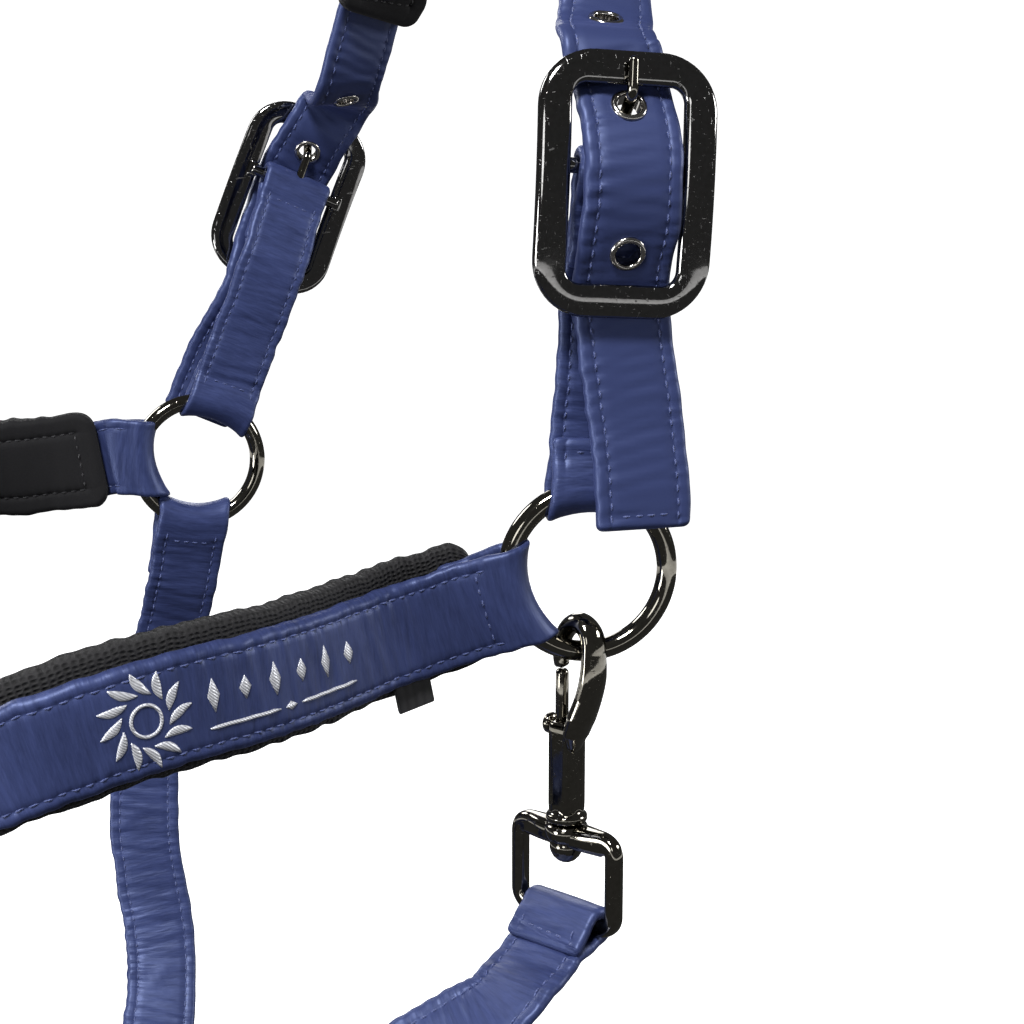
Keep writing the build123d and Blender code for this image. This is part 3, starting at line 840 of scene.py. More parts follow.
@dataclass(frozen=True)
class Paper(Finish):
    """Plain pale studio paper."""

    def build(self) -> bpy.types.Material:
        """Makes the material."""
        shader = Shader(self.name, {"Metallic": 0.0, "IOR": 1.2, "Emission Color": (1.0, 1.0, 1.0, 1.0),
                                    "Emission Strength": 0.9})
        place = shader.node("ShaderNodeTexCoord", {}, {}, "Object")
        return shader.dress(Base_Color=shader.mix(shader.noise(place, 40, 2.0), *self.pair),
                            Roughness=0.8 + 0.1 * shader.noise(place, 200, 1.0))


# The second colour of each finish is its deep one. For the air mesh, the threads, the spring wire and the
# tape it is painted shade in the hollows of the surface. For the satin it is partly random tone and partly
# painted shade.
NAVY_SATIN = Satin("navy_satin", (0.036, 0.050, 0.148), (0.015, 0.0215, 0.070))
NAVY_THREAD = Thread("navy_thread", (0.085, 0.115, 0.29), (0.03, 0.042, 0.13))
BLACK_MESH = AirMesh("black_air_mesh", (0.014, 0.0135, 0.015), (0.002, 0.002, 0.0025))
BLACK_LINING = Lining("black_lining", (0.0065, 0.0062, 0.0078), (0.004, 0.004, 0.005))
BLACK_THREAD = Thread("black_thread", (0.02, 0.02, 0.024), (0.006, 0.006, 0.008))
SILVER_THREAD = Thread("silver_thread", (0.72, 0.73, 0.77), (0.42, 0.43, 0.47), 0.32, 0.35, 0.42)
POLISHED = BlackNickel("polished_black_nickel", (0.215, 0.203, 0.175), (0.175, 0.165, 0.140), 0.03)
WORN = BlackNickel("handled_black_nickel", (0.205, 0.202, 0.200), (0.165, 0.162, 0.158), 0.04, 2.4)
BRIGHT = BlackNickel("bright_eyelet_nickel", (0.52, 0.50, 0.47), (0.42, 0.40, 0.38), 0.12, 0.6)
SPRING_WIRE = SpringSteel("spring_wire", (0.55, 0.55, 0.55), (0.25, 0.25, 0.25))
BLACK_TAPE = WovenTape("black_tape", (0.022, 0.022, 0.025), (0.008, 0.008, 0.010))
PALE_PAPER = Paper("pale_paper", (0.86, 0.86, 0.86), (0.84, 0.84, 0.84))


# ---------------------------------------------------------------- straps and pads
@dataclass(frozen=True)
class Crease:
    """A soft fold in a strap's face: where it is, which way it runs, and its size in millimetres."""

    along: float
    across: float
    turn: float
    length: float
    width: float
    depth: float


@dataclass
class Band:
    """A length of strap or pad: a flat tube with rounded edges, sewn channels, puckers and creases."""

    name: str
    track: Track
    width: float
    thick: float
    seed: int
    edge: float | None = None
    corner: float = 2.0
    row: float = STITCH_ROW
    channel: float = 0.42
    puff: float = 0.22
    pucker: float = 0.34
    creases: int = 0
    crease_depth: float = 0.4
    cross_rows: tuple[float, ...] = ()
    cross_span: float | None = None
    quiet: tuple[tuple[float, float], ...] = ()
    cups: tuple[tuple[float, np.ndarray], ...] = ()
    taper: Callable[[np.ndarray], np.ndarray] | None = None
    top_quilt: float = 1.0
    under_quilt: float = 1.0
    spacing: float = 1.0
    edge_wave: float = 0.22
    pressed: tuple[float, ...] = ()

    def __post_init__(self) -> None:
        """Draws the strap's random folds."""
        self.ripple = {side: Wander(self.seed + 7 * side + 20, 2.4, 7.0, 14) for side in (-2, -1, 1, 2)}
        self.edge_path = {side: Wander(self.seed + 50 + side, 5, 40, 9) for side in (-1, 1)}
        source = np.random.default_rng(self.seed + 90)
        self.folds = {side: self.draw_folds(source) for side in (-1, 1)}

    def draw_folds(self, source: np.random.Generator) -> list[Crease]:
        """Creases of one face.

        Args:
            source: where the random numbers come from.

        Returns:
            The creases.
        """
        half = self.width / 2
        return [Crease(source.uniform(0, self.track.length), source.uniform(-half, half),
                       source.normal(0, 0.35), source.uniform(5, 16), source.uniform(0.9, 2.2),
                       self.crease_depth * source.uniform(-0.5, 1.0)) for _ in range(self.creases)]

    def sewn(self, distance: np.ndarray) -> np.ndarray:
        """One where the rows are sewn, and zero in the stretches without stitching."""
        share = np.ones_like(distance)
        for first, last in self.quiet:
            inside = smooth_step((distance - first + 0.8) / 1.6) * smooth_step((last - distance + 0.8) / 1.6)
            share = share * (1 - inside)
        return share

    def half_thick(self, distance: np.ndarray) -> np.ndarray:
        """Half the thickness at some distances along the strap."""
        half = np.full_like(distance, self.thick / 2)
        return half if self.taper is None else half * self.taper(distance)

    def relief(self, distance: np.ndarray, across: np.ndarray, side: int) -> np.ndarray:
        """How far the quilted face stands from flat.

        Args:
            distance: along the strap.
            across: from its middle.
            side: 1 for the outer face and -1 for the inner.

        Returns:
            Heights in millimetres.
        """
        gain = self.top_quilt if side > 0 else self.under_quilt
        inset = self.width / 2 - np.abs(across)
        inner = np.clip(1 - (across / (self.width / 2 - self.row)) ** 2, 0, 1)
        sewn = self.sewn(distance)
        beat = 0.6 + 0.4 * np.cos(2 * math.pi * distance / STITCH_PITCH)
        off_row = inset - self.row
        rows = -self.channel * np.exp(-(off_row / GROOVE) ** 2) * beat * sewn
        share = smooth_step(across / 9 + 0.5)
        wave = share * self.ripple[side](distance) + (1 - share) * self.ripple[2 * side](distance)
        shift = self.ripple[side](distance + 0.25 * across)
        near_row = 0.42 + 0.58 * np.exp(-np.abs(off_row) / 3.0)
        ripples = self.pucker * near_row * (0.5 * wave + 0.5 * shift) * (0.35 + 0.65 * sewn)
        height = rows + ripples + self.puff * np.sqrt(inner) * (0.4 + 0.6 * sewn)
        half_row = self.width / 2 - self.row if self.cross_span is None else self.cross_span
        for place in self.cross_rows:
            beat_across = 0.6 + 0.4 * np.cos(2 * math.pi * across / STITCH_PITCH)
            reach = smooth_step((half_row - np.abs(across)) / 0.8 + 0.5)
            height = height - self.channel * np.exp(-((distance - place) / GROOVE) ** 2) * beat_across * reach
        for fold in self.folds[side]:
            ahead, aside = distance - fold.along, across - fold.across
            lengthwise = aside * math.cos(fold.turn) + ahead * math.sin(fold.turn)
            widthwise = ahead * math.cos(fold.turn) - aside * math.sin(fold.turn)
            height = height + fold.depth * np.exp(
                -(lengthwise / fold.length) ** 2 - (widthwise / fold.width) ** 2)
        for place in self.pressed:
            flat = np.exp(-(np.hypot(distance - place, across) / 5.8) ** 8)
            height = height * (1 - flat) - 0.03 * flat
        return gain * height

    def surface(self, distance: np.ndarray, across: np.ndarray, side: int) -> np.ndarray:
        """Points on the outer or inner face.

        Args:
            distance: along the strap.
            across: from its middle.
            side: 1 for the outer face and -1 for the inner.

        Returns:
            Points in millimetres.
        """
        return self.lifted(distance, across, side, 0.0)

    def lifted(self, distance: np.ndarray, across: np.ndarray, side: int,
               lift: Union[float, np.ndarray]) -> np.ndarray:
        """Points at a height over the outer or inner face."""
        distance, across = np.broadcast_arrays(np.asarray(distance, float), np.asarray(across, float))
        half = self.half_thick(distance)
        rounding = half if self.edge is None else np.minimum(half, self.edge)
        end = np.minimum(distance, self.track.length - distance)
        end_drop = np.clip(1 - end / (1.15 * rounding), 0, 1)
        inset = self.width / 2 - np.abs(across)
        edge_drop = np.clip(1 - inset / rounding, 0, 1)
        roundness = np.sqrt(np.clip(1 - edge_drop ** 2, 0, 1))
        roundness = roundness * np.sqrt(np.clip(1 - 0.94 * end_drop ** 2, 0, 1))
        calm = smooth_step(inset / 1.2) * smooth_step(end / 1.2)
        height = (half - rounding) + rounding * roundness + self.relief(distance, across, side) * calm + lift
        narrow = np.sqrt(np.clip(self.corner ** 2 - np.clip(self.corner - end, 0, None) ** 2, 0, None))
        narrow = 1 - (self.corner - narrow) / (self.width / 2) * (end < self.corner)
        path = np.where(across > 0, self.edge_path[1](distance), self.edge_path[-1](distance))
        sideways = across * narrow + self.edge_wave * path * (2 * across / self.width) ** 2 * np.sign(across)
        points = self.track.place(distance, sideways, side * height)
        for place, toward in self.cups:
            share = np.exp(-((distance - place) / 7.5) ** 2)[..., None]
            sag = RING_RADIUS - np.sqrt(np.clip(RING_RADIUS ** 2 - across ** 2, 1, None))
            points = points - share * sag[..., None] * toward
        return points

    def rows_along(self) -> np.ndarray:
        """Distances of the mesh's rings, closer together at the ends."""
        length = self.track.length
        ends = np.array([0, 0.08, 0.25, 0.5, 0.8, 1.2, 1.7, 2.3])
        middle = np.linspace(3, length - 3, max(2, int((length - 6) / self.spacing)))
        return np.concatenate([ends, middle, (length - ends)[::-1]])

    def build(self, finishes: Sequence[Finish], slot: Slot = Slot.SATIN) -> bpy.types.Object:
        """Makes the strap.

        Args:
            finishes: the outer finish, and the inner one if it differs.
            slot: not used.

        Returns:
            The object.
        """
        inset = np.array([0, 0.12, 0.4, 0.85, 1.4, 2.0, 2.6, 3.0, 3.3, 3.6, 4.1, 5.0, 6.6, 8.6, 10.8])
        if self.row > 5:
            inset = np.concatenate([inset[:7], [3.8, 5.0, 6.2, 6.7, 7.0, 7.3, 8.0, 9.6, 12.0]])
        half = self.width / 2 - inset[inset < self.width / 2 - 0.8]
        across = np.concatenate([-half, [0.0], half[::-1]])
        distance = self.rows_along()
        grid_s, grid_x = np.meshgrid(distance, across, indexing="ij")
        top = self.surface(grid_s, grid_x, 1)
        under = self.surface(grid_s, grid_x, -1)[:, 1:-1][:, ::-1]
        points = np.concatenate([top, under], axis=1)
        cloth_top = np.stack([grid_x, grid_s, np.zeros_like(grid_s)], -1)
        cloth_under = np.stack([grid_x + 60, grid_s, np.zeros_like(grid_s)], -1)[:, 1:-1][:, ::-1]
        cloth = np.concatenate([cloth_top, cloth_under], axis=1)
        rows, columns = points.shape[:2]
        faces = tube_faces(rows, columns)
        marks = None
        if len(finishes) > 1:
            first_under = len(across) + 1
            column = np.tile(np.arange(columns), rows - 1)
            marks = ((column >= first_under) & (column < columns - 3)).astype(int)
            marks = np.concatenate([marks, [0, 0]])
        return make_piece(self.name, points.reshape(-1, 3), faces, finishes,
                          cloth.reshape(-1, 3), marks)

    def stitching(self, finish: Finish, sides: Sequence[int] = (1, -1),
                  rows: bool = True) -> bpy.types.Object:
        """Makes the strap's stitches, each a short thread sunk at its ends.

        Args:
            finish: the thread's finish.
            sides: the faces that show stitches.
            rows: whether the long rows are sewn, as well as those across.

        Returns:
            The object.
        """
        rows_x = self.width / 2 - self.row
        places, lines, turned = [], [], []
        count = int((self.track.length - 5.0) / STITCH_PITCH)
        for at in (np.arange(count) + 1) * STITCH_PITCH + STITCH_PITCH / 2 if rows else ():
            if self.sewn(np.array([at]))[0] > 0.6:
                for sign in (-1, 1):
                    places.append(at)
                    lines.append(sign * rows_x)
                    turned.append(0)
        span = rows_x if self.cross_span is None else self.cross_span
        beside = int(span / STITCH_PITCH)
        for row in self.cross_rows:
            for x in np.arange(-beside, beside) * STITCH_PITCH + STITCH_PITCH / 2:
                places.append(row)
                lines.append(x)
                turned.append(1)
        place, line, cross = (np.array(values, float)[:, None, None] for values in (places, lines, turned))
        reach = np.linspace(-1, 1, STITCH_RINGS)[None, :, None]
        turn = np.linspace(0, 2 * math.pi, STITCH_SIDES + 1)[:-1][None, None, :]
        body = 0.27 * np.sqrt(np.clip(1.06 - reach ** 2, 0, 1))
        step = reach * STITCH_PITCH * 0.36
        side_step = body * np.cos(turn)
        shape_points, faces, cloth, first = [], [], [], 0
        for side in sides:
            s = place + np.where(cross > 0, side_step, step + 0 * side_step)
            x = line + np.where(cross > 0, step + 0 * side_step, side_step)
            lift = 0.16 * (1 - reach ** 2) - 0.10 + body * np.sin(turn)
            s, x, lift = np.broadcast_arrays(s, x, lift)
            grid = self.lifted(s, x, side, lift)
            if side < 0:
                grid = grid[:, :, ::-1]
            shape_points.append(grid.reshape(-1, 3))
            cloth.append(np.stack([x, s, lift], -1).reshape(-1, 3))
            for _ in range(len(place)):
                faces += tube_faces(STITCH_RINGS, STITCH_SIDES, False, first)
                first += STITCH_RINGS * STITCH_SIDES
        return make_piece(self.name + "_stitching", np.concatenate(shape_points), faces, [finish],
                          np.concatenate(cloth), turn_out=True)


@dataclass(frozen=True)
class Fold:
    """Where a strap folds round a wire: the wire, the direction the strap leaves in, and its sewn flap."""

    wire: np.ndarray
    toward: np.ndarray
    flap: float
    inner: float = RING_WIRE
    cupped: bool = True

    @classmethod
    def round_ring(cls, seat: Seat, degrees: float, flap: float) -> "Fold":
        """The fold round a ring, leaving it in the given direction."""
        return cls(seat.leaving(degrees, RING_RADIUS), seat.away(degrees), flap)

    def tip(self, layer: float) -> np.ndarray:
        """The farthest point of a layer of strap, behind the wire."""
        return self.wire - self.toward * (self.inner + FOLD_SLACK + layer / 2)

    def face(self, across: np.ndarray, outward: np.ndarray, side: int = 1) -> np.ndarray:
        """Direction of the side that a layer comes in on, outward if side is 1 and inward if it is -1."""
        face = unit(np.cross(-self.toward, across))
        return face * np.sign(np.dot(face, outward)) * side

    def loop(self, face: np.ndarray, across: np.ndarray, layer: float) -> list[Station]:
        """Stations of one layer of strap going round the wire.

        Args:
            face: direction of the side that the layer comes in on.
            across: direction of the strap's width.
            layer: thickness of the layer.

        Returns:
            The stations, from the side that it comes in on to the other.
        """
        around = self.inner + FOLD_SLACK + layer / 2
        neck = layer / 2 + 0.1
        places = [(8.5, neck + 0.1), (5.6, 0.45 * neck + 0.5 * around)]
        places += [(around * math.cos(math.radians(a)), around * math.sin(math.radians(a)))
                   for a in (62, 90, 122, 152)]
        places += [(-around, 0.0)] + [(out, -over) for out, over in places[::-1]]
        return [(self.wire + self.toward * out + face * over, across) for out, over in places]


NECK = 4.0      # from the end of a strap's middle track to where its layers part round the wire


def layered_track(middle: Track, start: Fold | None, end: Fold | None, layer: float, side: int,
                  rest_lift: float) -> tuple[Track, list[float]]:
    """The path of one strap that goes along a track and folds round a wire at one or both ends.

    Args:
        middle: the track between the wires.
        start: the fold at its start.
        end: the fold at its end.
        layer: thickness of one layer.
        side: 1 if the long layer is the outer one where the strap is doubled, and -1 if it is the inner.
        rest_lift: height of the long layer over the track where it isn't doubled.

    Returns:
        The strap's own track, and the distance along it of each fold.
    """
    lift = side * (layer / 2 + 0.05)
    first, last = (NECK if start else 0.0), middle.length - (NECK if end else 0.0)
    stations: list[Station] = []
    if start:
        across = middle.across[0]
        face = start.face(across, middle.outward[0], side)
        stations += middle.stations(first + start.flap, first, -lift) + start.loop(face, across, layer)[::-1]
    at = np.linspace(first, last, max(3, int((last - first) / 7.0) + 1))
    doubled_start = 1 - smooth_step((at - first - start.flap) / 12 - 0.2) if start else 0 * at
    doubled_end = 1 - smooth_step((last - at - end.flap) / 12 - 0.2) if end else 0 * at
    share = np.maximum(doubled_start, doubled_end)
    points = middle.place(at, 0 * at, rest_lift + (lift - rest_lift) * share)
    stations += list(zip(points, middle.look(middle.across, at)))
    if end:
        across = middle.across[-1]
        face = end.face(across, middle.outward[-1], side)
        stations += end.loop(face, across, layer) + middle.stations(last, last - end.flap, -lift)
    track = Track.through(stations, 3.0)
    return track, [track.nearest(fold.tip(layer)) for fold in (start, end) if fold]


@dataclass
class FoldedStrap:
    """A sewn strap folded round a wire at one or both ends, with its stitching."""

    name: str
    middle: Track
    start: Fold | None
    end: Fold | None
    width: float
    layer: float
    seed: int
    side: int = 1
    rest_lift: float = 0.0
    swell: float = 1.0
    creases: int = 30
    crease_depth: float = 0.4
    row: float = STITCH_ROW
    cross: float = 14.5
    bands: list = field(default_factory=list)

    def make(self, nodes: Sequence[str]) -> list[bpy.types.Object]:
        """Makes the strap and its stitching.

        Args:
            nodes: the CAD nodes that it stands for.

        Returns:
            The strap and the stitching, riding on nothing yet.
        """
        track, folds = layered_track(self.middle, self.start, self.end, self.layer, self.side, self.rest_lift)
        ends = [fold for fold in (self.start, self.end) if fold]
        inward = [1 if fold is self.start else -1 for fold in ends]
        low = folds[0] + 26 if self.start else -20.0
        high = folds[-1] - 26 if self.end else track.length + 20.0

        def taper(distance: np.ndarray) -> np.ndarray:
            """Thickness, as a share of one layer's, which grows where the strap isn't doubled."""
            into, left = smooth_step((distance - low) / 14), smooth_step((high - distance) / 14)
            return 1 + (self.swell - 1) * into * left

        quiet = tuple((fold - self.cross + 1.5, fold + self.cross - 1.5) for fold in folds)
        rows = [fold + way * self.cross for fold, way in zip(folds, inward)]
        rows += [place for place, there in ((3.6, self.start), (track.length - 3.6, self.end)) if there]
        cups = tuple((at, fold.toward * 0.9) for at, fold in zip(folds, ends) if fold.cupped)
        band = Band(self.name, track, self.width, self.layer, self.seed, creases=self.creases, quiet=quiet,
                    cross_rows=tuple(rows), cups=cups, taper=taper, row=self.row,
                    crease_depth=self.crease_depth)
        self.bands.append(band)
        strap, thread = band.build([NAVY_SATIN]), band.stitching(NAVY_THREAD)
        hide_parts(*nodes)
        return [strap, thread]

    def ride(self, nodes: Sequence[str]) -> list[bpy.types.Object]:
        """Makes the strap as make does, riding on the halter."""
        made = self.make(nodes)
        seat_on(Body.HALTER, *made)
        return made


@dataclass
class Pad:
    """A padded lining under a strap: foam with air mesh outside and brushed lining inside."""

    name: str
    under: Track            # track of the strap that it lies under
    first: float
    last: float
    top: float              # height of its outer face at the strap's middle, from the strap's track
    bottom: float           # height of its inner face
    seed: int
    shift: float = 0.0
    width: float = PAD_WIDTH
    thin: float = 1.0       # thickness at the ends, as a share

    def make(self, node: str) -> list[bpy.types.Object]:
        """Makes the pad and its quilting thread.

        Args:
            node: the CAD node that it stands for.

        Returns:
            The pad and the thread.
        """
        at = np.linspace(self.first, self.last, max(4, int((self.last - self.first) / 8)))
        middle = (self.top + self.bottom) / 2
        points = self.under.place(at, np.full_like(at, self.shift), np.full_like(at, middle))
        track = Track.through(list(zip(points, self.under.look(self.under.across, at))))
        length = track.length

        def taper(distance: np.ndarray) -> np.ndarray:
            """Thickness along the pad, as a share of the middle's."""
            near_end = np.minimum(distance, length - distance)
            return self.thin + (1 - self.thin) * smooth_step((near_end - 16) / 16)

        band = Band(self.name, track, self.width, self.top - self.bottom, self.seed, edge=2.7, corner=6.5,
                    row=7.0, channel=0.9, puff=0.45, pucker=0.12, creases=int(length / 7), crease_depth=0.22,
                    cross_rows=(7.0, length - 7.0), cross_span=10.0,
                    quiet=((-2, 6.0), (length - 6.0, length + 2)), taper=taper, top_quilt=0.12,
                    edge_wave=0.35)
        pad = band.build([BLACK_MESH, BLACK_LINING], Slot.PAD)
        thread = band.stitching(BLACK_THREAD, (-1,))
        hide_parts(node)
        seat_on(Body.HALTER, pad, thread)
        return [pad, thread]


# ---------------------------------------------------------------- crown
def billet(plane: Seat, lean: float, end_lean: float, clear: float) -> list[Station]:
    """Stations of one billet, from above its buckle to its free end.

    Args:
        plane: the buckle's plane.
        lean: sideways place above the buckle.
        end_lean: sideways place of the free end.
        clear: how far the free end hangs out from the buckle's plane.

    Returns:
        The stations.
    """
    width = plane.x if plane is NEAR_BUCKLE else -plane.x
    places = (
        (lean, 34.5, -5.9), (lean / 3, 26.5, -4.65), (0.1, 18.8, -0.4), (0.8, 4.5, 5.7), (1.3, -16.2, 0.4),
        (1.6, -26, -4.5), (0.3 * end_lean, -34, -5.7), (0.5 * end_lean, -46, -5.0),
        (0.75 * end_lean, -62, clear - 1.8), (0.9 * end_lean, -75, clear), (end_lean, -87, clear + 0.3),
    )
    return [(plane.at(*place), width) for place in places]


@dataclass
class Crown:
    """The crown strap over the poll, its eyelets and its pad."""

    near_eyelets: tuple[int, ...] = (18, 21, 23)
    far_eyelets: tuple[int, ...] = (6, 8, 11)
    row: float = 3.8

    def route(self) -> list[Station]:
        """The strap's stations, from the far billet's end to the near one's."""
        far, near = billet(FAR_BUCKLE, -2, 4, 3.8), billet(NEAR_BUCKLE, -3.5, 10, -1.8)
        return far[::-1] + [
            (vec(-8.6, 95, -66), vec(0.97, 0.15, 0.1)),
            (vec(-3.5, 80, -36), vec(0.96, 0.27, 0)),
            (vec(-1, 56, -9), vec(0.98, 0.15, 0)),
            (vec(0, 0, PAD_THICK + PAD_GAP + STRAP_THICK / 2), FORE_AND_AFT),
            (vec(3, -24, 3), FORE_AND_AFT),
            (vec(6, -52, -14), FORE_AND_AFT),
            (vec(5.5, -72, -43), FORE_AND_AFT),
            (vec(0.3, -82.5, -58.6), vec(0.98, -0.15, 0)),
        ] + near

    def make(self) -> None:
        """Makes the crown."""
        route = self.route()
        track = Track.through(route, 5.0)
        at = {station: track.nearest(route[station][0]) for station in self.near_eyelets + self.far_eyelets}
        band = Band("crown_strap", track, STRAP_WIDTH, STRAP_THICK, 11, row=self.row, creases=75,
                    cross_rows=(3.8, track.length - 3.8), pressed=tuple(at.values()))
        strap, thread = band.build([NAVY_SATIN]), band.stitching(NAVY_THREAD)
        seats = {station: track.seat(place) for station, place in at.items()}
        self.punch(strap, seats.values())
        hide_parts("crown_strap")
        seat_on(Body.HALTER, strap, thread)
        for side, stations in (("near", self.near_eyelets), ("far", self.far_eyelets)):
            collars = Shape()
            for station in stations:
                self.collar(collars, seats[station])
            made = collars.piece(f"{side}_eyelets", BRIGHT)
            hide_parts(f"{side}_eyelets")
            seat_on(Body.HALTER, made)
        crest = np.nonzero(track.points[:, 2] > -40)[0]
        Pad("crown_pad", track, float(track.distance[crest[0]]), float(track.distance[crest[-1]]),
            -STRAP_THICK / 2 - PAD_GAP, -STRAP_THICK / 2 - PAD_GAP - PAD_THICK, 21).make("crown_pad")

    def punch(self, strap: bpy.types.Object, seats: Sequence[Seat]) -> None:
        """Cuts a hole through the strap at each eyelet."""
        pins = Shape()
        for seat in seats:
            pins.lathe(seat, [(3.45, -4.0), (3.45, 4.0)], 40)
        cutter = pins.piece("eyelet_pins", BRIGHT)
        cut = strap.modifiers.new("holes", "BOOLEAN")
        cut.operation, cut.solver, cut.object = "DIFFERENCE", "EXACT", cutter
        settle_modifiers(strap)
        bpy.data.objects.remove(cutter)

    def collar(self, shape: Shape, seat: Seat) -> None:
        """Adds a rolled eyelet to a shape."""
        half = STRAP_THICK / 2
        profile = [
            (3.15, -half), (3.15, 0.0), (3.15, half), (3.2, half + 0.35), (3.42, half + 0.66),
            (3.78, half + 0.8), (4.2, half + 0.72), (4.55, half + 0.45), (4.74, half + 0.1),
            (4.7, half - 0.12), (4.4, half - 0.2), (3.6, half - 0.15), (3.42, 0.0), (3.6, 0.15 - half),
            (4.4, 0.2 - half), (4.72, 0.1 - half), (4.7, -half - 0.15), (4.4, -half - 0.4),
            (3.9, -half - 0.55), (3.45, -half - 0.5), (3.2, -half - 0.3),
        ]
        shape.lathe(seat, profile, 48, closed=True)


# ---------------------------------------------------------------- hardware
def pushed(wave: np.ndarray, power: float) -> np.ndarray:
    """A sine or cosine pushed outward, so that a section drawn with them is squarer than an oval."""
    return np.sign(wave) * np.abs(wave) ** power


@dataclass
class Ring:
    """A round welded ring."""

    name: str
    seat: Seat

    def make(self) -> None:
        """Makes the ring, slightly swollen at its weld."""
        turn = np.linspace(0, 2 * math.pi, 160, endpoint=False)
        line = self.seat.at(RING_RADIUS * np.cos(turn), RING_RADIUS * np.sin(turn))
        weld = np.angle(np.exp(1j * (turn - math.radians(205))))
        bead, dip = np.exp(-(weld / 0.035) ** 2), np.exp(-((weld - 0.08) / 0.03) ** 2)
        radius = RING_WIRE * (1 + 0.035 * bead - 0.02 * dip)
        made = Shape().wire(line, radius, self.seat.z, 32, closed=True).piece(self.name, POLISHED)
        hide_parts(self.name)
        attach(made, self.name)
        LOG.info("%s rides on %s", self.name, self.name)


@dataclass
class Buckle:
    """A crown buckle: an arched frame with a centre bar, and its tongue."""

    side: str
    plane: Seat
    body: Body
    width: float = 46.0
    length: float = 66.0
    bar: float = 8.5
    thick: float = 4.0
    corner: float = 14.5
    inner_corner: float = 3.8
    arch: float = 200.0
    bar_up: float = 4.5
    bar_back: float = 0.6

    def loop(self, width: float, length: float, corner: float, steps: int = 14, runs: int = 12) -> np.ndarray:
        """Points round a rounded rectangle, the same number whatever its size.

        Args:
            width: its width.
            length: its length.
            corner: its corner radius.
            steps: points round each corner.
            runs: points along each side.

        Returns:
            Pairs of numbers, one a row.
        """
        made = []
        centres = [(width / 2 - corner, length / 2 - corner), (corner - width / 2, length / 2 - corner),
                   (corner - width / 2, corner - length / 2), (width / 2 - corner, corner - length / 2)]
        for number, (x, y) in enumerate(centres):
            turn = np.radians(np.linspace(90 * number, 90 * number + 90, steps))
            arc = np.stack([x + corner * np.cos(turn), y + corner * np.sin(turn)], 1)
            following = centres[(number + 1) % 4]
            turned = math.radians(90 * number + 90)
            start = np.array([following[0] + corner * math.cos(turned),
                              following[1] + corner * math.sin(turned)])
            share = np.linspace(0, 1, runs + 2)[1:-1, None]
            made += [arc, arc[-1] * (1 - share) + start * share]
        return np.concatenate(made)

    def frame_piece(self) -> bpy.types.Object:
        """Makes the frame and its centre bar."""
        outer = self.loop(self.width, self.length, self.corner)
        inner = self.loop(self.width - 2 * self.bar, self.length - 2 * self.bar, self.inner_corner)
        turn = np.linspace(0, 2 * math.pi, 36, endpoint=False)
        power = 2 / 3.4
        share = 0.5 - 0.5 * pushed(np.cos(turn), power)
        rise = self.thick / 2 * pushed(np.sin(turn), power)
        rise = rise + np.where(rise > 0, 0.35 * np.sin(math.pi * share) - 0.15, 0)
        flat = outer[:, None] * (1 - share[None, :, None]) + inner[:, None] * share[None, :, None]
        height = 2.2 - flat[..., 1] ** 2 / (2 * self.arch) + rise[None]
        shape = Shape().add(self.plane.at(flat[..., 0], flat[..., 1], height), closed=True)
        half = self.width / 2 - self.bar + 2.6
        across = np.linspace(-half, half, 40)
        shape.wire(self.plane.at(across, self.bar_up, -self.bar_back), 2.0, self.plane.z, 24)
        for sign in (-1, 1):
            seat = Seat(self.plane.at(sign * (half - 0.4), self.bar_up, 0.1), self.plane.x, self.plane.y,
                        self.plane.z)
            shape.block(seat, (3.6, 6.0, 4.2), 1.0)
        made = shape.piece(f"{self.side}_buckle_frame", WORN)
        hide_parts(f"{self.side}_buckle_frame")
        return made

    def tongue_piece(self) -> bpy.types.Object:
        """Makes the tongue, a wire bent round the centre bar and up through an eyelet."""
        around = 2.0 + 0.1 + 1.3
        eye = np.stack([self.bar_up + around * np.cos(np.radians(np.linspace(-20, 250, 44))),
                        -self.bar_back + around * np.sin(np.radians(np.linspace(-20, 250, 44)))], 1)[::-1]
        blade = rounded_path([(6.2, -3.3), (16.8, -2.7), (22.6, 4.4), (31.3, 4.3)], 3.2)
        line = np.concatenate([eye[:-2], blade])
        steps = np.linalg.norm(np.diff(line, axis=0), axis=1)
        run = np.concatenate([[0], np.cumsum(steps)])
        even = np.linspace(0, run[-1], 130)
        line = np.stack([np.interp(even, run, line[:, k]) for k in range(2)], 1)
        to_tip = run[-1] - even
        radius = 1.3 + 0.2 * smooth_step((even - 10) / 12) - 0.25 * smooth_step((14 - to_tip) / 14)
        radius = radius * np.sqrt(np.clip(1 - np.clip(1 - to_tip / 1.2, 0, 1) ** 2, 0.02, 1))
        made = Shape().wire(self.plane.at(0, line[:, 0], line[:, 1]), radius, self.plane.x, 20).piece(
            f"{self.side}_buckle_tongue", POLISHED)
        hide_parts(f"{self.side}_buckle_tongue")
        return made

    def make(self) -> None:
        """Makes the buckle."""
        seat_on(Body.HALTER, self.frame_piece())
        seat_on(self.body, self.tongue_piece())


